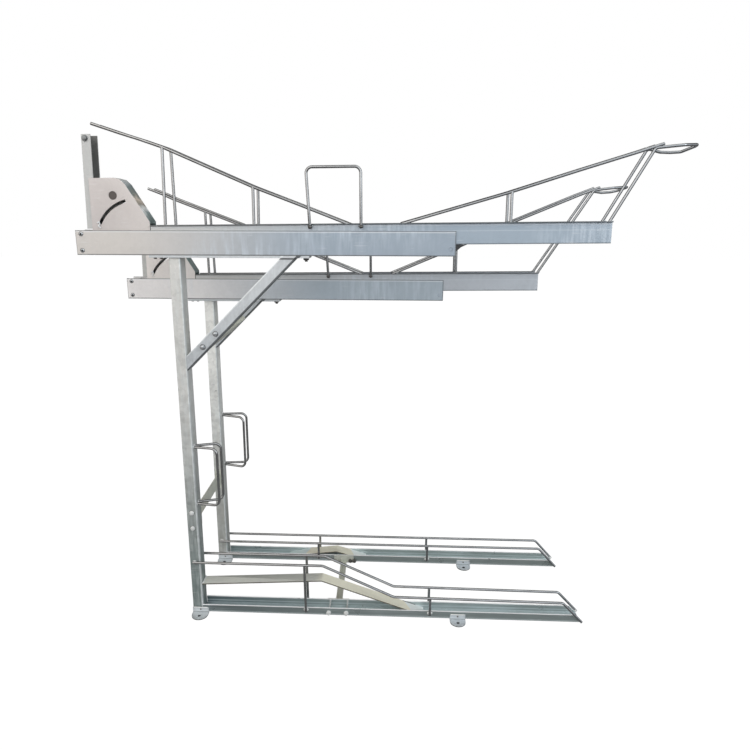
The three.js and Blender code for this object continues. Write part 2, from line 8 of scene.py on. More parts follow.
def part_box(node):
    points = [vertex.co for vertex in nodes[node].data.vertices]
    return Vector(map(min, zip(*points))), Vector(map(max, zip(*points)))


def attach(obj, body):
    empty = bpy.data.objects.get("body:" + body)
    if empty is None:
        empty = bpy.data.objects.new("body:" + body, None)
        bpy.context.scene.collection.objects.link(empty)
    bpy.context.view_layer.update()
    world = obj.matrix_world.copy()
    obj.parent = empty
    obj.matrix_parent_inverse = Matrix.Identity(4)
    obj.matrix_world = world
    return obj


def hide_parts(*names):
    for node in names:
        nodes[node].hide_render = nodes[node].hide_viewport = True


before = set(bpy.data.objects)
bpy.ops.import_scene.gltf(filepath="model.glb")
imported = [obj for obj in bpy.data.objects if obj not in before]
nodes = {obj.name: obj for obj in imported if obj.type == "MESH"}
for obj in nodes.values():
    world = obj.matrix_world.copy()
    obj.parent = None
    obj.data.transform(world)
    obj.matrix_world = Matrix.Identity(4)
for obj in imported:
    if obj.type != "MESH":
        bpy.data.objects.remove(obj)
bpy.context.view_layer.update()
print("frame loaded:", len(nodes), "nodes")

# The rack's own measures run in millimetres from the high rail's rear end, its centre line and the floor
mm = 0.001
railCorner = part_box("high_rail")[0]
originX = railCorner.x
originY = railCorner.y + 38 * mm

columns = {
    "high": {"y": 0, "rim": 1514.6, "shift": 0, "railBottom": 1416.5},
    "low": {"y": 400, "rim": 1309.6, "shift": 25, "railBottom": 1211.5},
}
traySlope = math.radians(0.6)
rodRadius = 5
sideRodY = 36.3
lipY = 36


def at(x, y, z):
    return Vector((originX + x * mm, originY + y * mm, z * mm))


def trayPlace(column):
    values = columns[column]
    return Matrix.Translation(at(0, values["y"], values["rim"])) @ Matrix.Rotation(-traySlope, 4, "Y")


def onTray(column, u, y, w):
    return trayPlace(column) @ (Vector((u, y, w)) * mm)


# Camera, from the photograph's vanishing points

cameraView = {
    "x": 1070.7, "y": -2204.5, "z": 1558.3, "yaw": -0.0446, "pitch": 0.2482, "roll": -0.0015,
    "lens": 30.01, "shiftX": 0.0247, "shiftY": -0.0043,
}


def placeCamera(view):
    yaw, pitch, roll = view["yaw"], view["pitch"], view["roll"]
    ahead = Vector((math.sin(yaw) * math.cos(pitch), math.cos(yaw) * math.cos(pitch), -math.sin(pitch)))
    right = Vector((math.cos(yaw), -math.sin(yaw), 0))
    down = ahead.cross(right)
    turnedRight = math.cos(roll) * right + math.sin(roll) * down
    turnedDown = math.cos(roll) * down - math.sin(roll) * right
    data = bpy.data.cameras.new("rackCamera")
    data.sensor_width = 36
    data.lens = view["lens"]
    data.shift_x = view["shiftX"]
    data.shift_y = view["shiftY"]
    data.clip_end = 60
    camera = bpy.data.objects.new("rackCamera", data)
    turn = Matrix((turnedRight, -turnedDown, -ahead)).transposed().to_4x4()
    camera.matrix_world = Matrix.Translation(at(view["x"], view["y"], view["z"])) @ turn
    bpy.context.scene.collection.objects.link(camera)
    bpy.context.scene.camera = camera


placeCamera(cameraView)
print("camera placed")


# Node helpers

def newNode(tree, kind, settings=None, inputs=None):
    node = tree.nodes.new(kind)
    for key, value in (settings or {}).items():
        setattr(node, key, value)
    for key, value in (inputs or {}).items():
        if isinstance(value, bpy.types.NodeSocket):
            tree.links.new(value, node.inputs[key])
        else:
            node.inputs[key].default_value = value
    return node


def calc(tree, operation, first, second=None, third=None, clamp=False):
    inputs = {0: first}
    if second is not None:
        inputs[1] = second
    if third is not None:
        inputs[2] = third
    return newNode(tree, "ShaderNodeMath", {"operation": operation, "use_clamp": clamp}, inputs).outputs[0]


def mixColours(tree, factor, first, second, blend="MIX"):
    node = newNode(tree, "ShaderNodeMix", {"data_type": "RGBA", "blend_type": blend},
                   {0: factor, 6: first, 7: second})
    return node.outputs[2]


def ramped(tree, value, low, high, toLow=0.0, toHigh=1.0, smooth=False):
    node = newNode(tree, "ShaderNodeMapRange",
                   {"interpolation_type": "SMOOTHSTEP" if smooth else "LINEAR", "clamp": True},
                   {"Value": value, "From Min": low, "From Max": high, "To Min": toLow, "To Max": toHigh})
    return node.outputs["Result"]


def newGroup(name, inputs, outputs):
    group = bpy.data.node_groups.new(name, "ShaderNodeTree")
    for label, kind, value in inputs:
        socket = group.interface.new_socket(label, in_out="INPUT", socket_type=kind)
        if value is not None:
            socket.default_value = value
    for label, kind in outputs:
        group.interface.new_socket(label, in_out="OUTPUT", socket_type=kind)
    return group, group.nodes.new("NodeGroupInput"), group.nodes.new("NodeGroupOutput")


def noisy(tree, vector, scale, detail, roughness=0.5):
    return newNode(tree, "ShaderNodeTexNoise", None,
                   {"Vector": vector, "Scale": scale, "Detail": detail, "Roughness": roughness}).outputs[0]


def greyFrom(tree, value):
    return newNode(tree, "ShaderNodeCombineColor", None, {0: value, 1: value, 2: value}).outputs[0]


def newSurface(name):
    material = bpy.data.materials.new(name)
    material.use_nodes = True
    return material, material.node_tree, material.node_tree.nodes["Principled BSDF"]


def joinSurface(tree, shader, colour, rough, height, strength, distance):
    bump = newNode(tree, "ShaderNodeBump", None, {"Strength": strength, "Distance": distance, "Height": height})
    tree.links.new(colour, shader.inputs["Base Color"])
    tree.links.new(rough, shader.inputs["Roughness"])
    tree.links.new(bump.outputs[0], shader.inputs["Normal"])


def grey(value):
    return (value, value, value, 1)


def linear(red, green, blue):
    # A colour given as it looks on screen, 0 to 255
    def toLinear(part):
        part /= 255
        return part / 12.92 if part <= 0.04045 else ((part + 0.055) / 1.055) ** 2.4
    return (toLinear(red), toLinear(green), toLinear(blue), 1)


# Studio: pale floor, white surroundings and large soft lamps

studio = {
    "floorSize": 40, "floorTone": 0.3, "floorRoughness": 0.9, "floorGlow": 0.968, "floorShade": 1.0,
    "seenWhite": 1.0,
    "frontLeft": (1.0, 0.975, 0.95), "frontRight": (0.9, 0.95, 1.0), "frontStrength": 1.8,
    "behind": (0.62, 0.63, 0.6), "behindStrength": 0.2, "zenithShare": 0.42, "nadirShare": 0.32,
    "lamps": [
        {"name": "keyLamp", "place": (-1.6, -2.6, 4.4), "aim": (0.0, 0.0, 0.6), "size": 2.4,
         "power": 20, "colour": (1.0, 0.975, 0.94)},
        {"name": "sideLamp", "place": (3.4, -2.2, 2.8), "aim": (0.3, 0.0, 0.7), "size": 1.8,
         "power": 24, "colour": (0.9, 0.95, 1.0)},
        {"name": "topLamp", "place": (1.4, -0.9, 4.6), "aim": (0.0, 0.0, 0.8), "size": 2.4,
         "power": 20, "colour": (1.0, 0.99, 0.96)},
        {"name": "rearLamp", "place": (0.6, 4.2, 2.2), "aim": (0.0, 0.2, 0.9), "size": 3.0,
         "power": 70, "colour": (0.95, 0.98, 1.0), "glossy": False},
    ],
}


def worldGlow(tree, values):
    # Light on the camera's side, warm on the left and cool on the right, and little from behind or above
    way = tree.nodes.new("ShaderNodeTexCoord").outputs["Generated"]
    parts = newNode(tree, "ShaderNodeSeparateXYZ", None, {0: way})
    side = ramped(tree, parts.outputs[0], -0.6, 0.6, smooth=True)
    front = mixColours(tree, side, (*values["frontLeft"], 1), (*values["frontRight"], 1))
    front = mixColours(tree, 1.0, front, grey(values["frontStrength"]), "MULTIPLY")
    back = mixColours(tree, 1.0, (*values["behind"], 1), grey(values["behindStrength"]), "MULTIPLY")
    turned = ramped(tree, parts.outputs[1], -0.45, 0.25, smooth=True)
    colour = mixColours(tree, turned, front, back)
    above = ramped(tree, parts.outputs[2], 0.3, 0.85, 1.0, values["zenithShare"], smooth=True)
    below = ramped(tree, parts.outputs[2], -0.5, -0.05, values["nadirShare"], 1.0, smooth=True)
    share = calc(tree, "MULTIPLY", above, below)
    return mixColours(tree, 1.0, colour, greyFrom(tree, share), "MULTIPLY")


def floorPaint(values):
    # White to the camera with a faint soft shade, and a plain grey floor to every other ray
    material, tree, shader = newSurface("floorPaint")
    seen = newNode(tree, "ShaderNodeLightPath").outputs["Is Camera Ray"]
    tone = calc(tree, "MULTIPLY_ADD", seen, values["floorShade"] * 0.1 - values["floorTone"], values["floorTone"])
    glow = calc(tree, "MULTIPLY", seen, values["floorGlow"])
    tree.links.new(greyFrom(tree, tone), shader.inputs["Base Color"])
    tree.links.new(glow, shader.inputs["Emission Strength"])
    shader.inputs["Emission Color"].default_value = (1, 1, 1, 1)
    shader.inputs["Roughness"].default_value = values["floorRoughness"]
    shader.inputs["Specular IOR Level"].default_value = 0.0
    return material


def buildStudio(values):
    scene = bpy.context.scene
    scene.view_settings.view_transform = "Standard"
    world = bpy.data.worlds.new("paleWorld")
    scene.world = world
    world.use_nodes = True
    tree = world.node_tree
    tree.nodes.clear()
    seen = newNode(tree, "ShaderNodeLightPath").outputs["Is Camera Ray"]
    colour = mixColours(tree, seen, worldGlow(tree, values), grey(values["seenWhite"]))
    background = newNode(tree, "ShaderNodeBackground", None, {"Color": colour})
    newNode(tree, "ShaderNodeOutputWorld", None, {"Surface": background.outputs[0]})
    for lamp in values["lamps"]:
        data = bpy.data.lights.new(lamp["name"], "AREA")
        data.shape = "DISK"
        data.size = lamp["size"]
        data.energy = lamp["power"]
        data.color = lamp["colour"]
        light = bpy.data.objects.new(lamp["name"], data)
        light.visible_glossy = lamp.get("glossy", True)
        aim = Vector(lamp["aim"]) - Vector(lamp["place"])
        light.matrix_world = Matrix.Translation(lamp["place"]) @ aim.to_track_quat("-Z", "Y").to_matrix().to_4x4()
        scene.collection.objects.link(light)
    mesh = bpy.data.meshes.new("paleFloor")
    bm = bmesh.new()
    bmesh.ops.create_grid(bm, x_segments=1, y_segments=1, size=values["floorSize"] / 2)
    bm.to_mesh(mesh)
    bm.free()
    mesh.materials.append(floorPaint(values))
    floor = bpy.data.objects.new("paleFloor", mesh)
    scene.collection.objects.link(floor)


buildStudio(studio)
print("studio built")


# Zinc crystals, cloudy patches and fine grain of a galvanised skin

def buildZincSkin():
    group, start, end = newGroup("zincSkin", [
        ("Vector", "NodeSocketVector", None), ("Crystal Scale", "NodeSocketFloat", 90.0),
        ("Crystals", "NodeSocketFloat", 0.1), ("Clouds", "NodeSocketFloat", 0.15),
        ("Grain", "NodeSocketFloat", 0.06)],
        [("Tone", "NodeSocketFloat"), ("Roughness", "NodeSocketFloat"), ("Height", "NodeSocketFloat")])
    vector = start.outputs["Vector"]
    warp = newNode(group, "ShaderNodeTexNoise", None, {"Vector": vector, "Scale": 60.0, "Detail": 2.0})
    bent = newNode(group, "ShaderNodeMix", {"data_type": "VECTOR"},
                   {0: 0.012, 4: vector, 5: warp.outputs["Color"]})
    crystals = newNode(group, "ShaderNodeTexVoronoi", {"feature": "F1"},
                       {"Vector": bent.outputs[1], "Scale": start.outputs["Crystal Scale"], "Randomness": 1.0})
    cell = newNode(group, "ShaderNodeSeparateColor", None, {0: crystals.outputs["Color"]})
    cellPart = calc(group, "SUBTRACT", cell.outputs[0], 0.5)
    cloudPart = calc(group, "SUBTRACT", noisy(group, vector, 9.0, 5.0, 0.6), 0.5)
    grainPart = calc(group, "SUBTRACT", noisy(group, vector, 900.0, 2.0, 0.6), 0.5)
    tone = calc(group, "MULTIPLY_ADD", cellPart, start.outputs["Crystals"], 1.0)
    tone = calc(group, "MULTIPLY_ADD", cloudPart, start.outputs["Clouds"], tone)
    tone = calc(group, "MULTIPLY_ADD", grainPart, start.outputs["Grain"], tone)
    cellShare = calc(group, "MULTIPLY", cellPart, start.outputs["Crystals"])
    grainShare = calc(group, "MULTIPLY", grainPart, start.outputs["Grain"])
    rough = calc(group, "MULTIPLY_ADD", cloudPart, 0.3, calc(group, "MULTIPLY", cellShare, 2.0))
    height = calc(group, "MULTIPLY_ADD", grainShare, 8.0, calc(group, "MULTIPLY", cellShare, 2.5))
    height = calc(group, "MULTIPLY_ADD", cloudPart, 0.8, height)
    group.links.new(tone, end.inputs["Tone"])
    group.links.new(rough, end.inputs["Roughness"])
    group.links.new(height, end.inputs["Height"])
    return group


# Runs of zinc, long one way and narrow the other

def buildZincRuns():
    group, start, end = newGroup("zincRuns", [
        ("Vector", "NodeSocketVector", None), ("Stretch", "NodeSocketVector", (1.0, 1.0, 0.08)),
        ("Scale", "NodeSocketFloat", 160.0), ("Patches", "NodeSocketFloat", 3.0)],
        [("Mask", "NodeSocketFloat")])
    vector = start.outputs["Vector"]
    stretched = newNode(group, "ShaderNodeVectorMath", {"operation": "MULTIPLY"},
                        {0: vector, 1: start.outputs["Stretch"]})
    runs = noisy(group, stretched.outputs[0], start.outputs["Scale"], 3.0, 0.55)
    patches = noisy(group, vector, start.outputs["Patches"], 2.0)
    mask = calc(group, "MULTIPLY", ramped(group, runs, 0.42, 0.7), ramped(group, patches, 0.38, 0.62, smooth=True))
    group.links.new(mask, end.inputs["Mask"])
    return group


# Fine scuffs where hands, tyres and sliding parts rub

def buildScuffs():
    group, start, end = newGroup("scuffs", [
        ("Vector", "NodeSocketVector", None), ("Stretch", "NodeSocketVector", (0.05, 1.0, 1.0)),
        ("Scale", "NodeSocketFloat", 260.0), ("Amount", "NodeSocketFloat", 0.4)],
        [("Mask", "NodeSocketFloat")])
    stretched = newNode(group, "ShaderNodeVectorMath", {"operation": "MULTIPLY"},
                        {0: start.outputs["Vector"], 1: start.outputs["Stretch"]})
    lines = ramped(group, noisy(group, stretched.outputs[0], start.outputs["Scale"], 2.0), 0.6, 0.72)
    there = ramped(group, noisy(group, start.outputs["Vector"], 14.0, 3.0), 0.5, 0.62, smooth=True)
    mask = calc(group, "MULTIPLY", calc(group, "MULTIPLY", lines, there), start.outputs["Amount"])
    group.links.new(mask, end.inputs["Mask"])
    return group


zincSkin = buildZincSkin()
zincRuns = buildZincRuns()
scuffs = buildScuffs()
print("shader groups built")


def groupNode(tree, group, inputs):
    return newNode(tree, "ShaderNodeGroup", {"node_tree": group}, inputs)


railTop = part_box("high_rail")[1]
hoodHalf = (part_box("high_hood")[1].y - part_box("high_hood")[0].y) / 2
columnGap, rimDrop, lean = 0.4, 0.205, math.tan(traySlope)
railZero = at(0, 0, columns["low"]["railBottom"]).z
rimZero = at(0, 0, columns["low"]["rim"]).z - lean * originX

# Each finish fades from one colour to another along one axis, over world metres; on the rails and trays the fade is a
# painted reflection, warm at the rear and cool towards the mouth, and on the ramp it is painted light on its slope.
# A band paints shade or a highlight on the metal between two heights or lengths, in millimetres from zero, and comes
# again after each period, so it fits both columns

def band(axis, zero, limits, soft, colour=None, amount=1.0, **more):
    return {"axis": axis, "zero": zero, "limits": limits, "soft": soft, "colour": colour, "amount": amount, **more}


def zinc(axis, reach, first, second, runColour, **own):
    # The usual galvanised skin, with this finish's own values over it
    return {"axis": axis, "reach": reach, "from": first, "to": second, "runColour": runColour, "crystals": 0.0,
            "clouds": 0.2, "grain": 0.05, "runs": 0.3, "runStretch": (1.0, 1.0, 1.0), "runScale": 120,
            "roughness": 0.46, "metal": 0.45, "bump": 0.12, "rub": 0.3, **own}


everyRail, everyRim = {"period": rimDrop}, {"period": rimDrop, "lean": (0, -lean)}
everyColumn = {"period": columnGap}
# Painted shade along the rail's lower and upper edges, at its mouth end and at its rear end, and a painted highlight
# line just below its top edge
railPaintedEdges = [
    band(2, railZero, (-4, 3.2), 0.8, (84, 86, 86), 0.85, **everyRail),
    band(2, railZero, (81.6, 88), 0.7, (96, 100, 102), 0.75, **everyRail),
    band(2, railZero, (77.5, 81), 1.2, (226, 228, 230), 0.55, **everyRail),
    band(0, railTop.x, (-3.2, 4), 0.7, (96, 100, 102), 0.7),
    band(0, originX, (-4, 2.4), 0.7, (150, 150, 148), 0.6),
]
# Painted shade along the tray's rim and lower edge, and two painted highlight lines below the rim
trayPaintedEdges = [
    band(2, rimZero, (-3.4, 4), 0.8, (74, 78, 80), 0.85, **everyRim),
    band(2, rimZero, (-9.5, -5.5), 1.6, (214, 218, 222), 0.45, **everyRim),
    band(2, rimZero, (-28, -26), 1.2, (206, 212, 216), 0.5, **everyRim),
    band(2, rimZero, (-80, -68.6), 0.7, (92, 98, 102), 0.7, **everyRim),
]
# Painted shade on the floor tray's near wall and along its foot, and painted highlight lines on its rim and on its
# inner floor
floorTrayPaintedLines = [
    band(1, originY, (-40, -29.5), 1.0, (112, 118, 116), 0.55, **everyColumn),
    band(2, 0.0, (34, 40), 0.9, (255, 255, 255)),
    band(2, 0.0, (7, 10.5), 1.2, (214, 224, 226), 0.7),
    band(2, 0.0, (2, 6.6), 0.8, (70, 76, 74), 0.8),
    band(2, 0.0, (16.5, 20.5), 2.0, (222, 232, 234), 0.7, also=band(1, originY, (24, 36), 0.8, **everyColumn)),
]
# Painted shade: dark lines along the feet's lower edge and just above it
footPaintedShade = [band(2, 0.0, (-1, 3.2), 0.6, (40, 42, 42), 0.9), band(2, 0.0, (5.6, 7.6), 0.5, (84, 90, 90), 0.8)]
# Painted shade along the brace's lower edge and a painted highlight along its upper edge, both at 45 degrees, and a
# painted shadow at the high brace's top end just under the rail plate
braceZero = 0.6417 - originX
bracePaintedEdges = [
    band(2, braceZero, (-9, 8), 1.0, (52, 56, 58), 0.85, lean=(0, -1)),
    band(2, braceZero, (51.5, 60), 1.0, (236, 238, 238), 0.7, lean=(0, -1)),
    band(2, railZero + rimDrop, (-13.5, -8.4), 0.8, (70, 72, 72), 0.85, also=band(1, originY, (-60, 60), 1.0)),
]
# A painted highlight on the post's front corner
postPaintedHighlight = [
    band(1, originY, (-34, -17.6), 0.8, (226, 230, 230), 0.75, also=band(0, originX, (353.6, 359), 0.8), **everyColumn),
]
# Painted shade inside the channel of the wheel stop, which leans a little
stopLean = 13 / 309
stopPaintedShade = [
    band(1, originY, (-24.8, 24.8), 0.15, (70, 70, 66), 0.95, **everyColumn,
         also=band(0, originX - columns["high"]["rim"] * mm * stopLean, (42.6, 140), 0.3, lean=(2, -stopLean))),
]
# Painted shade on the strips' sides, the painted light of the ramp's toe and of the bump's ends, cut off at a slant,
# and a painted shadow line along the toe's far edge
stripPaintedShade = band(1, originY, (-34, -26.0), 0.3, (72, 64, 50), 0.9, **everyColumn)
toeSlant, heelSlant, farSlant = 0.589, -0.46, 0.43
toeZero, bumpY = at(1180.5, 0, 0).x + toeSlant * originY, at(0, 400, 0).y
rampPaintedLight = [
    stripPaintedShade, band(0, toeZero, (0, 200), 1.5, (246, 252, 252), 0.9, lean=(1, toeSlant)),
    band(1, originY, (24.0, 34), 0.4, (52, 60, 60), 0.85, **everyColumn,
         also=band(0, toeZero, (-6, 46), 1.5, lean=(1, toeSlant))),
]
bumpPaintedLight = [
    stripPaintedShade,
    band(0, at(939, 0, 0).x + farSlant * bumpY, (0, 200), 1.5, (246, 252, 252), 0.9, lean=(1, farSlant)),
    band(0, at(731, 0, 0).x + heelSlant * bumpY, (-200, 0), 1.5, (214, 230, 232), 0.85, lean=(1, heelSlant)),
]
# Painted reflection down the hood's sloping band, given as stops of colour along its slope
hoodPaintedReflection = {
    "within": hoodHalf - 0.0008, "reach": (originX + 0.15, originX + 0.268), "waveScale": 26.0, "wave": 0.03,
    "stops": [(0.0, (206, 204, 200)), (0.24, (208, 212, 212)), (0.36, (136, 148, 148)), (0.49, (148, 152, 146)),
              (0.57, (228, 212, 196)), (0.66, (172, 164, 152)), (0.735, (252, 252, 250)), (0.82, (156, 168, 166)),
              (0.93, (112, 128, 126)), (1.0, (130, 142, 140))],
}
finishes = {
    # Painted reflection: the rail fades from warm and light at the rear to cool and darker towards the mouth
    "railZinc": zinc(0, (-0.95, -0.15), (206, 201, 196), (156, 167, 178), (206, 216, 224), crystals=0.05, clouds=0.22,
                     runs=0.5, runStretch=(1.0, 1.0, 0.10), runScale=85, runStart=-1.0, bands=railPaintedEdges),
    "postZinc": zinc(2, (0.1, 1.0), (126, 136, 134), (212, 211, 207), (222, 228, 228), crystals=0.14, clouds=0.46,
                     grain=0.06, runs=0.4, runStretch=(1.0, 1.0, 0.10), bump=0.14, bands=postPaintedHighlight),
    "braceZinc": zinc(2, (1.0, 1.4), (192, 196, 199), (200, 203, 205), (228, 232, 234), crystals=0.10, grain=0.06,
                      runs=0.25, runStretch=(1.0, 1.0, 0.2), bump=0.14, bands=bracePaintedEdges),
    "tieZinc": zinc(1, (-0.18, 0.25), (212, 210, 196), (196, 198, 188), (232, 230, 214), crystals=0.10, clouds=0.24,
                    grain=0.06, runStretch=(1.0, 0.1, 1.0), metal=0.4, bump=0.14),
    # Painted reflection: the tray fades from warm and light at the rear to cool and darker towards the front
    "trayZinc": zinc(0, (-0.8, 0.2), (204, 204, 202), (158, 170, 181), (214, 222, 230), crystals=0.06, grain=0.03,
                     runs=0.5, runStretch=(1.0, 1.0, 0.12), runScale=85, roughness=0.42, metal=0.5, bands=trayPaintedEdges),
    "hoodZinc": zinc(0, (-1.0, -0.78), (194, 187, 184), (203, 196, 192), (214, 214, 208), crystals=0.05, clouds=0.14,
                     runs=0.16, runStretch=(1.0, 1.0, 0.12), runScale=90, roughness=0.5, metal=0.35, gloss=hoodPaintedReflection),
    "floorZinc": zinc(0, (-0.7, -0.1), (112, 126, 130), (164, 176, 176), (214, 226, 228), rub=0.0, clouds=0.3,
                      grain=0.01, runs=0.7, runStretch=(0.02, 1.0, 1.0), runScale=150, roughness=0.32, metal=0.5,
                      bump=0.04, bands=floorTrayPaintedLines),
    "rodZinc": zinc(0, (-1.0, 1.0), (152, 151, 150), (150, 152, 154), (228, 230, 232), clouds=0.14, grain=0.0,
                    runs=0.2, runStretch=(0.2, 0.2, 0.2), roughness=0.2, metal=0.95, bump=0.02),
    # Painted light: the ramp's colour grows lighter along it, brightening its sloping part
    "rampZinc": zinc(0, (-0.24, -0.19), (222, 222, 214), (250, 246, 226), (240, 238, 224), crystals=0.03, clouds=0.16,
                     grain=0.04, runStretch=(0.1, 1.0, 1.0), runScale=90, roughness=0.5, metal=0.3, bump=0.1,
                     bands=rampPaintedLight),
    "footZinc": zinc(0, (-0.7, 0.8), (204, 208, 210), (200, 206, 210), (230, 236, 238), crystals=0.10, clouds=0.3,
                     grain=0.06, runs=0.2, runStretch=(0.3, 1.0, 1.0), roughness=0.38, metal=0.55, bands=footPaintedShade),
    "boltZinc": zinc(2, (0.0, 1.8), (180, 183, 185), (182, 185, 187), (214, 218, 220), clouds=0.12, runs=0.0,
                     roughness=0.26, metal=0.8, bump=0.05),
    "weldZinc": zinc(2, (0.0, 1.8), (222, 223, 221), (226, 228, 228), (200, 202, 202), clouds=0.3, grain=0.12,
                     runs=0.0, metal=0.4, bump=0.3),
    "stopZinc": zinc(0, (-1.0, -0.8), (190, 190, 188), (190, 190, 188), (206, 206, 202), crystals=0.08, runs=0.2,
                     runStretch=(1.0, 1.0, 0.12), runScale=90, roughness=0.5, metal=0.35, bands=stopPaintedShade),
    "nutZinc": zinc(2, (0.0, 1.5), (104, 102, 98), (92, 90, 88), (150, 148, 144), clouds=0.3, grain=0.1,
                    runScale=160, roughness=0.36, metal=0.7, bump=0.1),
}

# The wheel stop's bolts are paler than the nuts. The low column, which stands behind, gets lighter copies: painted
# light that makes up for the shade it stands in
for name, source, first, second, own in (
        ("stopBoltZinc", "nutZinc", (124, 126, 126), (124, 126, 126), {}),
        ("litFarRail", "railZinc", (234, 231, 230), (166, 177, 186), {"reach": (-0.9, -0.15)}),
        ("litFarHood", "hoodZinc", (228, 222, 218), (228, 222, 218), {}),
        ("litFarTray", "trayZinc", (212, 211, 208), (182, 187, 193), {"crystals": 0.04, "grain": 0.02, "rub": 0.0}),
        ("litFarPost", "postZinc", (172, 173, 168), (240, 240, 236), {"clouds": 0.3}),
        ("litFarFloor", "floorZinc", (150, 164, 164), (172, 184, 182), {}),
        ("bumpZinc", "rampZinc", (238, 234, 214), (238, 234, 214), {"bands": bumpPaintedLight})):
    finishes[name] = {**finishes[source], "from": first, "to": second, **own}


def bandMask(tree, parts, values):
    # 1 between the two limits of a band, 0 elsewhere, with soft ends
    value = parts.outputs[values["axis"]]
    if "lean" in values:
        other, factor = values["lean"]
        value = calc(tree, "MULTIPLY_ADD", parts.outputs[other], factor, value)
    value = calc(tree, "SUBTRACT", value, values["zero"])
    if "period" in values:
        value = calc(tree, "WRAP", value, values["period"] / 2, -values["period"] / 2)
    soft, (start, stop) = values["soft"] * mm, values["limits"]
    rise = ramped(tree, value, start * mm - soft, start * mm + soft)
    fall = ramped(tree, value, stop * mm - soft, stop * mm + soft, 1.0, 0.0)
    mask = calc(tree, "MULTIPLY", calc(tree, "MULTIPLY", rise, fall), values["amount"])
    return calc(tree, "MULTIPLY", mask, bandMask(tree, parts, values["also"])) if "also" in values else mask


def glossPatches(tree, place, parts, gloss, colour):
    # Painted reflection: bright and dark patches down the band between the cheeks, blurred and a little wavy
    across = calc(tree, "SUBTRACT", parts.outputs[1], originY)
    across = calc(tree, "WRAP", across, columnGap / 2, -columnGap / 2)
    inside = calc(tree, "LESS_THAN", calc(tree, "ABSOLUTE", across), gloss["within"])
    wave = calc(tree, "SUBTRACT", noisy(tree, place, gloss["waveScale"], 2.0), 0.5)
    slide = calc(tree, "MULTIPLY_ADD", wave, gloss["wave"], parts.outputs[0])
    share = ramped(tree, slide, *gloss["reach"])
    ramp = newNode(tree, "ShaderNodeValToRGB", None, {0: share})
    elements = ramp.color_ramp.elements
    for number, (position, tone) in enumerate(gloss["stops"]):
        element = elements[number] if number < 2 else elements.new(position)
        element.position = position
        element.color = linear(*tone)
    return mixColours(tree, inside, colour, ramp.outputs[0])


def zincFinish(name, look):
    material, tree, shader = newSurface(name)
    place = newNode(tree, "ShaderNodeTexCoord").outputs["Object"]
    parts = newNode(tree, "ShaderNodeSeparateXYZ", None, {0: place})
    skin = groupNode(tree, zincSkin, {"Vector": place, "Crystals": look["crystals"],
                                      "Clouds": look["clouds"], "Grain": look["grain"]})
    runs = groupNode(tree, zincRuns, {"Vector": place, "Stretch": look["runStretch"], "Scale": look["runScale"]})
    rubbed = groupNode(tree, scuffs, {"Vector": place, "Amount": look["rub"]})
    fade = ramped(tree, parts.outputs[look["axis"]], *look["reach"], smooth=True)
    colour = mixColours(tree, fade, linear(*look["from"]), linear(*look["to"]))
    streaks = calc(tree, "MULTIPLY", runs.outputs["Mask"], look["runs"])
    if "runStart" in look:
        reach = ramped(tree, parts.outputs[0], look["runStart"], look["runStart"] + 0.5, smooth=True)
        streaks = calc(tree, "MULTIPLY", streaks, reach)
    colour = mixColours(tree, streaks, colour, linear(*look["runColour"]))
    if "gloss" in look:
        colour = glossPatches(tree, place, parts, look["gloss"], colour)
    for mark in look.get("bands", []):
        colour = mixColours(tree, bandMask(tree, parts, mark), colour, linear(*mark["colour"]))
    colour = mixColours(tree, 1.0, colour, greyFrom(tree, skin.outputs["Tone"]), "MULTIPLY")
    colour = mixColours(tree, rubbed.outputs["Mask"], colour, grey(0.72))
    rough = calc(tree, "ADD", skin.outputs["Roughness"], look["roughness"], clamp=True)
    rough = calc(tree, "SUBTRACT", rough, calc(tree, "MULTIPLY", rubbed.outputs["Mask"], 0.2), clamp=True)
    joinSurface(tree, shader, colour, rough, skin.outputs["Height"], look["bump"], 0.0006)
    shader.inputs["Metallic"].default_value = look["metal"]
    return material


materials = {name: zincFinish(name, look) for name, look in finishes.items()}


# Black nylon of the rollers, with turning marks round the axle. The same black finish is painted shade on the discs in
# the screw sockets and anchor holes and on the high cradle's nose, and the browner one is painted shade on the discs in
# the hood's holes

nylonsAndShades = {
    "blackNylonAndShade": {"colour": (38, 40, 42), "wornAndLit": (78, 80, 82), "roughness": 0.5},
    "hoodHoleShade": {"colour": (84, 76, 72), "wornAndLit": (112, 106, 102), "roughness": 0.6},
}


def nylonAndShadeFinish(name, look):
    material, tree, shader = newSurface(name)
    place = newNode(tree, "ShaderNodeTexCoord").outputs["Object"]
    skin = groupNode(tree, zincSkin, {"Vector": place, "Crystals": 0.0, "Clouds": 0.3, "Grain": 0.3})
    rubbed = groupNode(tree, scuffs, {"Vector": place, "Stretch": (1.0, 0.05, 1.0), "Amount": 0.8})
    colour = mixColours(tree, rubbed.outputs["Mask"], linear(*look["colour"]), linear(*look["wornAndLit"]))
    rough = calc(tree, "ADD", skin.outputs["Roughness"], look["roughness"], clamp=True)
    joinSurface(tree, shader, colour, rough, skin.outputs["Height"], 0.2, 0.0005)
    return material


materials.update({name: nylonAndShadeFinish(name, look) for name, look in nylonsAndShades.items()})
print("finishes built:", len(materials))


# Pieces

sides = ((-1, "near"), (1, "far"))
weldSmooth = math.radians(80)
barCap = {"inset": 0.22, "rise": 0.16}
beadRipple = {"scale": 1.7, "depth": 0.28}
joinReach = 0.00002


def standing(place, way):
    # A frame at the place, with its own Z along the given way
    return Matrix.Translation(place) @ way.to_track_quat("Z", "Y").to_matrix().to_4x4()


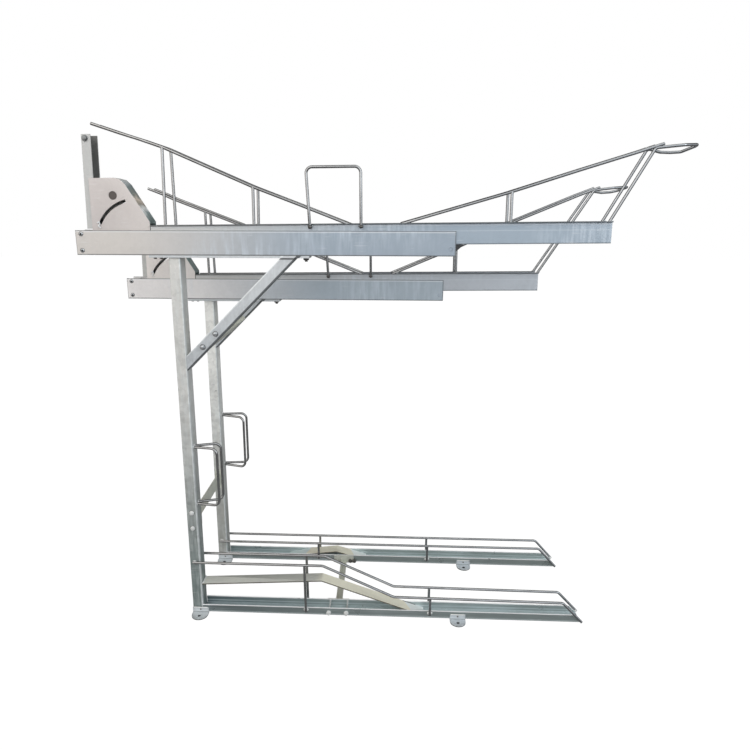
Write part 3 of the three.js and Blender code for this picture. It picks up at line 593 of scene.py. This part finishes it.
def addPiece(name, bm, material, body, replaced=None, smoothUnder=math.radians(35)):
    bmesh.ops.recalc_face_normals(bm, faces=bm.faces)
    for edge in bm.edges:
        edge.smooth = len(edge.link_faces) == 2 and edge.calc_face_angle(0) < smoothUnder
    for face in bm.faces:
        face.smooth = True
    mesh = bpy.data.meshes.new(name)
    bm.to_mesh(mesh)
    bm.free()
    mesh.materials.append(materials[material])
    piece = bpy.data.objects.new(name, mesh)
    bpy.context.scene.collection.objects.link(piece)
    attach(piece, body)
    if replaced:
        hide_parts(replaced)
    return piece


def addBarAndWelds(node, word, bm, beads, body="frame"):
    addPiece(f"{node}_{word}", bm, "rodZinc", body, node)
    addPiece(f"{node}_welds", beads, "weldZinc", body, smoothUnder=weldSmooth)


def bentRoute(corners, bend):
    # Each corner of the route becomes an arc of the given radius
    stations = [corners[0]]
    for before, corner, after in zip(corners, corners[1:], corners[2:]):
        back, ahead = before - corner, after - corner
        turn = math.pi - back.angle(ahead)
        if turn < math.radians(2):
            stations.append(corner)
            continue
        reach = min(bend * math.tan(turn / 2), back.length * 0.48, ahead.length * 0.48)
        radius = reach / math.tan(turn / 2)
        back.normalize()
        ahead.normalize()
        centre = corner + (back + ahead).normalized() * (radius / math.cos(turn / 2))
        arm = corner + back * reach - centre
        axis = arm.cross(corner + ahead * reach - centre).normalized()
        count = max(2, math.ceil(turn / math.radians(9)))
        stations += [centre + Matrix.Rotation(turn * step / count, 3, axis) @ arm for step in range(count + 1)]
    stations.append(corners[-1])
    return stations


def headings(stations):
    ways = [(ahead - here).normalized() for here, ahead in zip(stations, stations[1:])]
    mids = [(first + second).normalized() for first, second in zip(ways, ways[1:])]
    return [ways[0], *mids, ways[-1]]


def sweepBar(bm, corners, bend, radius=rodRadius * mm, segments=16):
    # A round section carried along the route, ring by ring, with eased ends
    stations = bentRoute(corners, bend)
    ways = headings(stations)
    ring = bmesh.ops.create_circle(bm, cap_ends=True, radius=radius, segments=segments,
                                   matrix=standing(stations[0], ways[0]))["verts"]
    firstCap = next(face for face in ring[0].link_faces)
    edges = list(firstCap.edges)
    for index in range(1, len(stations)):
        swing = ways[index - 1].rotation_difference(ways[index]).to_matrix().to_4x4()
        made = bmesh.ops.extrude_edge_only(bm, edges=edges)["geom"]
        ring = [item for item in made if isinstance(item, bmesh.types.BMVert)]
        inRing = set(ring)
        edges = [item for item in made if isinstance(item, bmesh.types.BMEdge) and inRing.issuperset(item.verts)]
        move = Matrix.Translation(stations[index]) @ swing @ Matrix.Translation(-stations[index - 1])
        bmesh.ops.transform(bm, matrix=move, verts=ring)
    lastCap = bmesh.ops.contextual_create(bm, geom=edges)["faces"]
    bmesh.ops.recalc_face_normals(bm, faces=bm.faces)
    for cap in [firstCap, *lastCap]:
        bmesh.ops.inset_region(bm, faces=[cap], thickness=radius * barCap["inset"], depth=0)
        bmesh.ops.translate(bm, vec=cap.normal * radius * barCap["rise"], verts=cap.verts)


def addBead(bm, place, size, seed):
    # A weld bead: a small lump with ripples
    made = bmesh.ops.create_icosphere(bm, subdivisions=2, radius=1.0)["verts"]
    for vert in made:
        ripple = noise.noise(vert.co * beadRipple["scale"] + Vector((seed * 3.1, seed * 1.7, seed)))
        vert.co *= 1 + beadRipple["depth"] * ripple
        vert.co = Vector((vert.co.x * size[0], vert.co.y * size[1], vert.co.z * size[2])) * mm + place


def trimAbove(bm, point, normal):
    # Cuts off what lies beyond the plane and closes the cut
    cut = bmesh.ops.bisect_plane(bm, geom=bm.verts[:] + bm.edges[:] + bm.faces[:],
                                 plane_co=point, plane_no=normal, clear_outer=True)["geom_cut"]
    edges = [item for item in cut if isinstance(item, bmesh.types.BMEdge)]
    bmesh.ops.holes_fill(bm, edges=edges, sides=0)


# Guide rods over the floor trays

floorGuides = {
    "high": {"route": [(330, 226), (843, 226), (1122, 97), (1778, 91), (1790, 79), (1857, 8.5)],
             "uprights": [(774, 771), (1265, 1265)]},
    "low": {"route": [(330, 95), (1778, 95), (1790, 83), (1857, 8.5)], "uprights": [(784, 784), (1279, 1279)]},
}
guideValues = {
    "bend": 30, "uprightFoot": 19, "headDrop": 2, "bead": (6.5, 4.0, 5.0), "foot": (32.5, 27),
    "footBead": (11, 2.4, 7.5), "rear": (336, 31.5), "rearBead": (8, 3.5, 6), "front": (1853, 32.5, 12),
    "frontBead": (6, 3.5, 5),
}


def heightOn(route, x):
    for (backX, backZ), (frontX, frontZ) in zip(route, route[1:]):
        if x <= frontX:
            return backZ + (frontZ - backZ) * (x - backX) / (frontX - backX)
    return route[-1][1]


def buildFloorGuide(column, side, word):
    guide, values, y = floorGuides[column], guideValues, columns[column]["y"]
    rodY = y + side * sideRodY
    bm = bmesh.new()
    sweepBar(bm, [at(x, rodY, z) for x, z in guide["route"]], values["bend"] * mm)
    beads = bmesh.new()
    footY, footZ = values["foot"]
    for number, (foot, head) in enumerate(guide["uprights"]):
        top = heightOn(guide["route"], head)
        sweepBar(bm, [at(foot, rodY, values["uprightFoot"]), at(head, rodY, top)], 0.01)
        addBead(beads, at(head, rodY, top - values["headDrop"]), values["bead"], number + side)
        addBead(beads, at(foot, y + side * footY, footZ), values["footBead"], number + 5 * side)
    (rearX, rearY), (frontX, frontY, frontZ) = values["rear"], values["front"]
    addBead(beads, at(rearX, y + side * rearY, guide["route"][0][1] + 1), values["rearBead"], side + 9)
    addBead(beads, at(frontX, y + side * frontY, frontZ), values["frontBead"], side + 13)
    addBarAndWelds(f"{column}_floor_guide_{word}", "bar", bm, beads)


for column in columns:
    for side, word in sides:
        buildFloorGuide(column, side, word)
print("floor guides built")


# Lock loops on the posts

postLoops = {
    "high": {"top": 702, "bottom": 470, "reach": 449, "shift": -8},
    "low": {"top": 693, "bottom": 461, "reach": 461, "shift": 8},
}
loopValues = {"root": 357, "face": 358.2, "splay": 30, "rootY": 8, "bend": 24, "bead": (2.6, 7.4, 7.4)}


def buildPostLoop(column, side, word):
    y, place = columns[column]["y"], postLoops[column]
    inner, outer = place["shift"] + side * loopValues["rootY"], side * loopValues["splay"]
    route = [(loopValues["root"], inner, place["top"]), (place["reach"], outer, place["top"]),
             (place["reach"], outer, place["bottom"]), (loopValues["root"], inner, place["bottom"])]
    bm = bmesh.new()
    sweepBar(bm, [at(x, y + across, z) for x, across, z in route], loopValues["bend"] * mm)
    beads = bmesh.new()
    for number, z in enumerate((place["top"], place["bottom"])):
        addBead(beads, at(loopValues["face"], y + inner + side, z), loopValues["bead"], number + 3 * side)
    addBarAndWelds(f"{column}_post_lock_loop_{word}", "bar", bm, beads)


for column in columns:
    for side, word in sides:
        buildPostLoop(column, side, word)
print("post lock loops built")


# Guide rods, handle and lock loop of each upper tray, in the tray's own frame

upperRods = {
    "high": {
        "rear": [(94.5, 330.4), (190.1, 298.4), (255.9, 277.7), (330.7, 252), (623.3, 123.9), (783.7, 62.2),
                 (941.1, 0.5)],
        "rearUprights": {"near": [(318, 327.5), (624, 626)], "far": [(331, 332.5), (625, 629)]},
        "front": [(1138.1, 1.5), (1475.1, 94), (1704.8, 163.6), (1891.4, 218.6), (1965.6, 241.8)],
        "frontUpright": 1489,
        "bar": [(1818.2, 7.4), (1940, 229), (1979.5, 232.7), (2030.6, 237.1)],
        "tip": (2094, 241),
        "barFar": [(2051, 221.5), (2016, 220), (1984, 221.5), (1942, 233)],
    },
    "low": {
        "rear": [(122.6, 342.1), (177.4, 320.6), (220.2, 301.1), (477.1, 201.4), (966.1, 2.3)],
        "rearUprights": {"near": [(347.5, 347.5)], "far": [(352.5, 348.5)]},
        "front": [(1110.1, 1.8), (1264.8, 65.2), (1360.1, 101.2), (1589.2, 203.8), (1830.2, 300.3), (1904.5, 327.5)],
        "frontUpright": 1358,
        "bar": [(1686.1, 2.7), (1883, 316), (1915, 321), (1955, 325)],
        "tip": (2029, 330),
        "barFar": [(1996, 316.5), (1970, 311.5), (1935, 309.5), (1889, 317)],
    },
}
# Beads are given by their half sizes, and the rods run some way past the rim before they are cut off at it
upperValues = {
    "bend": 60, "handleBend": 13, "lipTop": 0.25, "pastRim": 14, "pastFoot": 15, "uprightFoot": -8, "headDrop": 3,
    "headBead": (6.4, 4.0, 4.6), "footBead": (6.6, 4.0, 1.8), "footRise": 0.8, "endBead": (12, 4.0, 2.4),
    "endRise": 1.4, "endShift": 6, "legBead": (9, 4.0, 2.6), "legRise": 1.6, "crossBead": (9, 4.0, 5.6),
    "crossShift": 3, "noseBead": (7, 4.0, 5.4), "noseShift": (4, 2), "loopRear": 807, "loopWidth": 182,
    "loopHeight": 183.5, "loopLean": 9, "loopBend": 20, "loopY": -46.3, "hookY": -31.6, "hookDrop": -10.5,
    "loopFoot": (1.2, 1), "loopFootBead": (7.2, 5.6, 7.2),
}


def cutAtLip(bm, column):
    place = trayPlace(column)
    trimAbove(bm, place @ Vector((0, 0, upperValues["lipTop"] * mm)), -(place.to_3x3() @ Vector((0, 0, 1))))


def carriedOn(back, end, length):
    # The point that lies the given length past the end, on the line from back to end
    reach = math.hypot(end[0] - back[0], end[1] - back[1])
    return (end[0] + (end[0] - back[0]) / reach * length, end[1] + (end[1] - back[1]) / reach * length)


def onLip(column, side, route):
    return [onTray(column, u, side * lipY, w) for u, w in route]


def addLipBead(beads, column, side, u, w, kind, seed):
    addBead(beads, onTray(column, u, side * lipY, w), upperValues[kind], seed)


def addLipUpright(bm, beads, column, side, foot, head, top, seeds):
    sweepBar(bm, onLip(column, side, [(foot, upperValues["uprightFoot"]), (head, top)]), 0.01)
    addLipBead(beads, column, side, head, top - upperValues["headDrop"], "headBead", seeds[0])
    addLipBead(beads, column, side, foot, upperValues["footRise"], "footBead", seeds[1])


def finishTrayRods(column, node, word, bm, beads):
    cutAtLip(bm, column)
    cutAtLip(beads, column)
    addBarAndWelds(node, word, bm, beads, f"{column}_upper_tray")


def buildRearGuide(column, side, word):
    values, rear = upperValues, upperRods[column]["rear"]
    bm, beads = bmesh.new(), bmesh.new()
    route = [*rear[:-1], carriedOn(rear[-2], rear[-1], values["pastRim"])]
    sweepBar(bm, onLip(column, side, route), values["bend"] * mm)
    for number, (foot, head) in enumerate(upperRods[column]["rearUprights"][word]):
        addLipUpright(bm, beads, column, side, foot, head, heightOn(rear, head), (number + side, number + 7 * side))
    addLipBead(beads, column, side, rear[-1][0] - values["endShift"], values["endRise"], "endBead", side + 3)
    finishTrayRods(column, f"{column}_rear_guide_{word}", "bar", bm, beads)


def buildFrontGuide(column):
    values, rods = upperValues, upperRods[column]
    bm, beads = bmesh.new(), bmesh.new()
    front, near, far, upright = rods["front"], rods["bar"], rods["barFar"], rods["frontUpright"]
    start = carriedOn(front[1], front[0], values["pastRim"])
    for side, _ in sides:
        sweepBar(bm, onLip(column, side, [start, *front[1:]]), values["bend"] * mm)
        addLipUpright(bm, beads, column, side, upright, upright, heightOn(front, upright), (side + 2, side + 5))
        addLipBead(beads, column, side, front[0][0] + values["endShift"], values["endRise"], "endBead", side + 7)
        addLipBead(beads, column, side, near[0][0], values["legRise"], "legBead", side + 11)
    firstFoot, lastFoot = (carriedOn(corner, near[0], values["pastFoot"]) for corner in (near[1], far[-1]))
    tip = onTray(column, rods["tip"][0], 0, rods["tip"][1])
    handle = [*onLip(column, -1, [firstFoot, *near[1:]]), tip, *onLip(column, 1, [*far, lastFoot])]
    sweepBar(bm, handle, values["handleBend"] * mm)
    for side, corner in ((-1, near[1]), (1, far[-1])):
        middle = (heightOn(front, corner[0]) + corner[1]) / 2
        addLipBead(beads, column, side, corner[0] - values["crossShift"], middle, "crossBead", side + 17)
    noseU, noseW = front[-1][0] - values["noseShift"][0], front[-1][1] - values["noseShift"][1]
    for side, _ in sides:
        addLipBead(beads, column, side, noseU, noseW, "noseBead", side + 19)
    finishTrayRods(column, f"{column}_front_guide", "bars", bm, beads)


def buildTrayLoop(column):
    values, shift = upperValues, columns[column]["shift"]
    rear = values["loopRear"] + shift
    front, foot = rear + values["loopWidth"], rear + values["loopLean"]
    side, hook, drop = values["loopY"], values["hookY"], values["hookDrop"]
    route = [(foot, hook, drop), (foot, side, drop), (rear, side, values["loopHeight"]),
             (front, side, values["loopHeight"]), (front, side, drop), (front, hook, drop)]
    bm, feet = bmesh.new(), bmesh.new()
    sweepBar(bm, [onTray(column, u, y, w) for u, y, w in route], values["loopBend"] * mm)
    inward, rise = values["loopFoot"]
    for number, u in enumerate((foot, front)):
        addBead(feet, onTray(column, u, side + inward, drop + rise), values["loopFootBead"], number + 23)
    node, body = f"{column}_tray_lock_loop", f"{column}_upper_tray"
    addPiece(f"{node}_bar", bm, "rodZinc", body, node)
    addPiece(f"{node}_feet", feet, "nutZinc", body, smoothUnder=weldSmooth)


for column in columns:
    for side, word in sides:
        buildRearGuide(column, side, word)
    buildFrontGuide(column)
    buildTrayLoop(column)
print("upper tray rods built")


# Bolts and nuts

washerHeight = 1.8
headEase = 0.09
discEase = 0.35


def addHexHead(bm, place, out, across, height, seat=0.0, turn=0.0):
    # A washer of radius seat, when given, and a hexagon with eased corners, both standing out along the given way
    base = standing(place, out)
    lift = washerHeight if seat else 0.0
    if seat:
        addDisc(bm, base, seat, washerHeight)
    head = base @ Matrix.Translation((0, 0, lift * mm)) @ Matrix.Rotation(turn, 4, "Z")
    ring = bmesh.ops.create_circle(bm, cap_ends=True, radius=across / math.sqrt(3) * mm, segments=6)["verts"]
    cap = ring[0].link_faces[0]
    made = bmesh.ops.extrude_face_region(bm, geom=[cap])["geom"]
    top = [item for item in made if isinstance(item, bmesh.types.BMVert)]
    bmesh.ops.translate(bm, vec=(0, 0, height * mm), verts=top)
    rim = [edge for edge in bm.edges if edge.verts[0] in top and edge.verts[1] in top]
    made = bmesh.ops.bevel(bm, geom=rim, offset=across * headEase * mm, segments=2, profile=0.5, affect="EDGES",
                           material=-1, clamp_overlap=True)
    verts = set(ring) | {vert for vert in top if vert.is_valid} | {vert for vert in made["verts"] if vert.is_valid}
    bmesh.ops.transform(bm, matrix=head, verts=[vert for vert in verts if vert.is_valid])


def addDisc(bm, base, radius, height):
    cone = bmesh.ops.create_cone(bm, cap_ends=True, segments=24, radius1=radius * mm, radius2=radius * mm,
                                 depth=height * mm, matrix=base @ Matrix.Translation((0, 0, height / 2 * mm)))
    rim = {edge for vert in cone["verts"] for edge in vert.link_edges if len(edge.link_faces) == 2
           and edge.calc_face_angle(0) > 1}
    bmesh.ops.bevel(bm, geom=list(rim), offset=discEase * mm, segments=1, profile=0.5, affect="EDGES", material=-1)


def addDomeHead(bm, place, out, radius, height):
    # A low domed head, spun from its profile
    profile = [(0, height), (radius * 0.45, height * 0.93), (radius * 0.8, height * 0.62),
               (radius * 0.97, height * 0.22), (radius, 0)]
    verts = [bm.verts.new((u * mm, 0, w * mm)) for u, w in profile]
    edges = [bm.edges.new(pair) for pair in zip(verts, verts[1:])]
    spun = bmesh.ops.spin(bm, geom=verts + edges, cent=(0, 0, 0), axis=(0, 0, 1), angle=math.tau, steps=20,
                          use_merge=True, use_duplicate=False)
    grown = set(verts) | {item for item in spun["geom_last"] if isinstance(item, bmesh.types.BMVert)}
    for _ in range(24):
        grown |= {edge.other_vert(vert) for vert in grown for edge in vert.link_edges}
    bmesh.ops.remove_doubles(bm, verts=list(grown), dist=0.00001)
    bmesh.ops.transform(bm, matrix=standing(place, out), verts=[vert for vert in grown if vert.is_valid])


nearWay, farWay, downWay = Vector((0, -1, 0)), Vector((0, 1, 0)), Vector((0, 0, -1))
sideWays = ((-1, nearWay), (1, farWay))
# Hexagon heads are given as across flats, height and washer radius
frameBolts = {
    "railScrewX": 20, "railScrewZ": (15.5, 71.5), "railHalf": 38, "railScrewRadius": 7, "domeHeight": 2.7,
    "socketShadeRadius": 3.6, "socketShadeHeight": 3.0, "screwRing": (8.2, 0.7), "tubeHalf": 30,
    "braceBolts": [(469, 1140), (420, 1091)], "tieBolts": [(338, 436), (338, 371)], "boltHead": (13, 6.5, 9.5),
    "boltRing": (10.8, 1.0), "floorTieBolts": [(864, 15), (934, 15)], "floorTieHalf": 31,
    "floorTieHead": (15, 6.5, 10.0), "tieRod": [(0, -28.2, 0), (2, 25.2, 0), (3, 25.2, 20)],
    "tieRodRadius": 3.6, "tieNuts": [(929, 11.5), (948, 11.5)], "tieNutY": -35.6,
    "tieNutHead": (15, 7, 8.6), "plateDrop": 8.3, "rearPlateNuts": (261, 283), "rearPlateHead": (10, 5, 7.5),
    "plateNut": {"high": 796, "low": 618}, "plateWasher": 14, "plateHead": (17, 9), "plateStud": (5, 14),
}
stopBolts = {"u": 65, "half": 27.7, "height": {"high": 285.7, "low": 222}, "head": (15, 5, 10.5)}


def buildFrameBolts(column, values):
    y, bottom = columns[column]["y"], columns[column]["railBottom"]
    bm, socketShades, nuts, ties = bmesh.new(), bmesh.new(), bmesh.new(), bmesh.new()
    for side, way in sideWays:
        for z in values["railScrewZ"]:
            head = at(values["railScrewX"], y + side * values["railHalf"], bottom + z)
            addDomeHead(bm, head, way, values["railScrewRadius"], values["domeHeight"])
            # A dark disc in each screw head: painted shade of its socket recess
            addDisc(socketShades, standing(head, way), values["socketShadeRadius"], values["socketShadeHeight"])
            addDisc(nuts, standing(head, way), *values["screwRing"])
    outer, way = (-values["tubeHalf"], nearWay) if column == "high" else (values["tubeHalf"], farWay)
    for number, (x, z) in enumerate([*values["braceBolts"], *values["tieBolts"]]):
        heads = bm if number < len(values["braceBolts"]) else ties
        addHexHead(heads, at(x, y + outer, z), way, *values["boltHead"], turn=number * 0.4)
        addDisc(nuts, standing(at(x, y + outer, z), way), *values["boltRing"])
    for x, z in values["floorTieBolts"]:
        for side, way in sideWays:
            if column == "high" or side == 1:
                place = at(x, y + side * values["floorTieHalf"], z)
                addHexHead(ties, place, way, *values["floorTieHead"], turn=0.3 + x)
        if column == "high":
            route = [at(x + along, y + across, z + rise) for along, across, rise in values["tieRod"]]
            sweepBar(ties, route, 0.004, values["tieRodRadius"] * mm, 12)
    if column == "low":
        for x, z in values["tieNuts"]:
            addHexHead(nuts, at(x, y + values["tieNutY"], z), nearWay, *values["tieNutHead"], turn=x)
    under = bottom - values["plateDrop"]
    for x in values["rearPlateNuts"]:
        addHexHead(nuts, at(x, y, under), downWay, *values["rearPlateHead"], turn=0.25)
    place = at(values["plateNut"][column], y, under)
    addDisc(bm, standing(place, downWay), values["plateWasher"], washerHeight)
    addHexHead(nuts, place, downWay, *values["plateHead"], turn=0.25)
    addDisc(nuts, standing(place, downWay), *values["plateStud"])
    for word, made, material in (("frame_bolts", bm, "boltZinc"), ("floor_tie_bolts", ties, "weldZinc"),
                                 ("screw_socket_shades", socketShades, "blackNylonAndShade"), ("frame_nuts", nuts, "nutZinc")):
        addPiece(f"{column}_{word}", made, material, "frame")


def buildStopBolts(column, values):
    u, height = values["u"] + columns[column]["shift"], values["height"][column]
    bm = bmesh.new()
    for side, _ in sides:
        way = trayPlace(column).to_3x3() @ Vector((0, side, 0))
        addHexHead(bm, onTray(column, u, side * values["half"], height), way, *values["head"], turn=0.2)
    addPiece(f"{column}_wheel_stop_bolts", bm, "stopBoltZinc", f"{column}_upper_tray")


for column in columns:
    buildFrameBolts(column, frameBolts)
    buildStopBolts(column, stopBolts)
print("bolts built")


# Small parts: dark discs in the hood's holes and in the anchor holes, painted shade that fills them, the hook at the
# slot's end, and weld runs at the feet and at the ramp's heel

smallParts = {
    "hole": (142, 100), "holeShadeRadius": 14.2, "holeShadeThickness": 2.4, "holeShadeInset": 0.5,
    "hook": [(79, 9), (86, 14), (88, 5), (82, -1), (90, -7)], "hookWire": 2.1, "hookOut": 2.6,
    "anchorShadeRadius": 6.2, "anchorShadeTop": 1.6, "anchorShadeRise": 0.3, "holeShare": 0.7, "rivet": (3.4, 2.0), "rivetDrop": 7.5,
    "wall": 5, "collarRadius": 2.2, "collarInset": 4, "collarOut": 1, "collarRise": 0.5,
    "heel": (361.6, 128.6), "heelHalf": 26, "heelRadius": 3.0,
}


def buildHoodParts(column, values):
    shift = columns[column]["shift"]
    turn = trayPlace(column).to_3x3()
    holeShades, hook = bmesh.new(), bmesh.new()
    for side, _ in sides:
        out = turn @ Vector((0, side, 0))
        inner = hoodHalf / mm - values["holeShadeInset"] - values["holeShadeThickness"]
        place = onTray(column, values["hole"][0] + shift, side * inner, values["hole"][1])
        # A dark disc in each hole of the hood: painted shade standing in for the shaded inside of the hood
        addDisc(holeShades, standing(place, out), values["holeShadeRadius"], values["holeShadeThickness"])
    route = [onTray(column, u + shift, -hoodHalf / mm - values["hookOut"], w) for u, w in values["hook"]]
    sweepBar(hook, route, 0.002, values["hookWire"] * mm, 10)
    addPiece(f"{column}_hood_hole_shades", holeShades, "hoodHoleShade", f"{column}_upper_tray")
    addPiece(f"{column}_hood_hook", hook, "weldZinc", f"{column}_upper_tray")


def buildFootParts(column, values):
    anchorHoleShades, collars, marks = bmesh.new(), bmesh.new(), bmesh.new()
    for word in ("post_foot", "front_foot"):
        low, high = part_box(f"{column}_{word}")
        tabRadius, middle = (high.x - low.x) / 2, (high.x + low.x) / 2
        hole = Vector((middle, low.y + tabRadius * values["holeShare"], values["anchorShadeRise"] * mm))
        # A dark disc in each anchor hole: painted shade standing in for the shade under the foot
        addDisc(anchorHoleShades, Matrix.Translation(hole), values["anchorShadeRadius"], values["anchorShadeTop"])
        outer, top, reach = high.y - values["wall"] * mm, high.z, tabRadius - values["collarInset"] * mm
        ends = [Vector((middle + side * reach, outer + values["collarOut"] * mm, top + values["collarRise"] * mm))
                for side, _ in sides]
        sweepBar(collars, ends, 0.01, values["collarRadius"] * mm, 10)
        addDomeHead(marks, Vector((middle, outer, top - values["rivetDrop"] * mm)), nearWay, *values["rivet"])
    addPiece(f"{column}_anchor_hole_shades", anchorHoleShades, "blackNylonAndShade", "frame")
    addPiece(f"{column}_foot_welds", collars, "weldZinc", "frame")
    addPiece(f"{column}_foot_rivets", marks, "nutZinc", "frame")


def buildRampWeld(values):
    x, z = values["heel"]
    bm = bmesh.new()
    sweepBar(bm, [at(x, side * values["heelHalf"], z) for side, _ in sides], 0.01, values["heelRadius"] * mm, 10)
    addPiece("high_ramp_weld", bm, "weldZinc", "frame")


for column in columns:
    buildHoodParts(column, smallParts)
    buildFootParts(column, smallParts)
buildRampWeld(smallParts)
print("small parts built")


# Hoods with rounded long edges, the low wheel stop and the cradles' noses, from the solids' own meshes; the high
# cradle's nose is painted shade, in the black finish

reshaped = {"hoodRound": 6.5, "roundSteps": 4, "stopTop": 236, "noseRoom": 0.0004}


def solidCopy(name):
    bm = bmesh.new()
    bm.from_mesh(nodes[name].data)
    bmesh.ops.remove_doubles(bm, verts=bm.verts, dist=joinReach)
    bmesh.ops.dissolve_limit(bm, angle_limit=math.radians(0.5), verts=bm.verts, edges=bm.edges)
    return bm


def easeEdges(piece, width=0.6):
    edge = piece.modifiers.new("easedEdges", "BEVEL")
    edge.width = width * mm
    edge.segments = 2
    edge.limit_method = "ANGLE"
    edge.angle_limit = math.radians(40)


def buildHood(column, values):
    bm = solidCopy(f"{column}_hood")
    middle = at(0, columns[column]["y"], 0).y

    def isLong(edge):
        if len(edge.link_faces) != 2 or any(abs(vert.co.y - middle) < hoodHalf - 0.0003 for vert in edge.verts):
            return False
        cheeks = [face for face in edge.link_faces if abs(face.normal.y) > 0.9]
        slopes = [face for face in edge.link_faces if abs(face.normal.y) < 0.1 and face.normal.z + face.normal.x > 0.3
                  and max(vert.co.y for vert in face.verts) - min(vert.co.y for vert in face.verts) > hoodHalf]
        return len(cheeks) == 1 and len(slopes) == 1

    longEdges = [edge for edge in bm.edges if isLong(edge)]
    bmesh.ops.bevel(bm, geom=longEdges, offset=values["hoodRound"] * mm, segments=values["roundSteps"], profile=0.5,
                    affect="EDGES", material=-1, clamp_overlap=True)
    print(column, "hood edges rounded:", len(longEdges))
    # The low hood takes the lighter copy, painted light that makes up for its shade
    finish = "hoodZinc" if column == "high" else "litFarHood"
    name = f"{column}_hood"
    easeEdges(addPiece(f"{name}_rounded", bm, finish, f"{column}_upper_tray", name))


def buildLowStop(values):
    bm = solidCopy("low_wheel_stop")
    way = trayPlace("low").to_3x3() @ Vector((0, 0, 1))
    trimAbove(bm, onTray("low", 0, 0, values["stopTop"]), way)
    easeEdges(addPiece("low_wheel_stop_short", bm, "stopZinc", "low_upper_tray", "low_wheel_stop"))


def buildCradle(column, values):
    name, mouth = f"{column}_mouth_cradle", Vector((railTop.x + values["noseRoom"], 0, 0))
    inner = solidCopy(name)
    trimAbove(inner, mouth, Vector((1, 0, 0)))
    easeEdges(addPiece(f"{name}_cheeks", inner, "railZinc", f"{column}_cradle", name))
    if column == "high":
        # The high cradle's nose is cut off and finished black: painted shade of its shadowed underside
        shaded_nose = solidCopy(name)
        trimAbove(shaded_nose, mouth, Vector((-1, 0, 0)))
        addPiece(f"{name}_nose", shaded_nose, "blackNylonAndShade", f"{column}_cradle", name)


for column in columns:
    buildHood(column, reshaped)
    buildCradle(column, reshaped)
buildLowStop(reshaped)
print("reshaped solids built")


# Carried-over solids get their finish and slightly eased edges

solidFinishes = {
    "rail": "railZinc", "rail_rear_stop": "railZinc", "rail_plate": "braceZinc", "post": "postZinc",
    "brace": "braceZinc", "tray": "trayZinc", "wheel_stop": "stopZinc", "floor_tray": "floorZinc",
    "post_foot": "footZinc", "front_foot": "footZinc", "mouth_roller": "blackNylonAndShade", "tail_roller": "blackNylonAndShade",
    "wheel_ramp": "rampZinc", "wheel_bump": "bumpZinc",
}
# The low column's lighter copies: painted light that makes up for the shade behind the high column
litFarFinishes = {"rail": "litFarRail", "tray": "litFarTray", "post": "litFarPost", "floor_tray": "litFarFloor"}
easedWidths = {"post": 2.4, "brace": 2.4, "rail": 0.9, "tray": 0.8, "floor_tray": 0.7}


def dressSolid(name, material, width=0.6):
    node = nodes[name]
    node.data.materials.clear()
    node.data.materials.append(materials[material])
    weld = node.modifiers.new("weld", "WELD")
    weld.merge_threshold = joinReach
    easeEdges(node, width)


for column in columns:
    for word, material in solidFinishes.items():
        name = f"{column}_{word}"
        if name in nodes and name != "low_wheel_stop":
            # For the low column the lighter copies carry painted light; the nylons' scuffed colour is real wear
            wornAndLit = litFarFinishes.get(word, material) if column == "low" else material
            dressSolid(name, wornAndLit, easedWidths.get(word, 0.6))
for name in ("upper_cross_tie", "lower_cross_tie", "floor_cross_tie"):
    dressSolid(name, "tieZinc")
print("solids dressed")
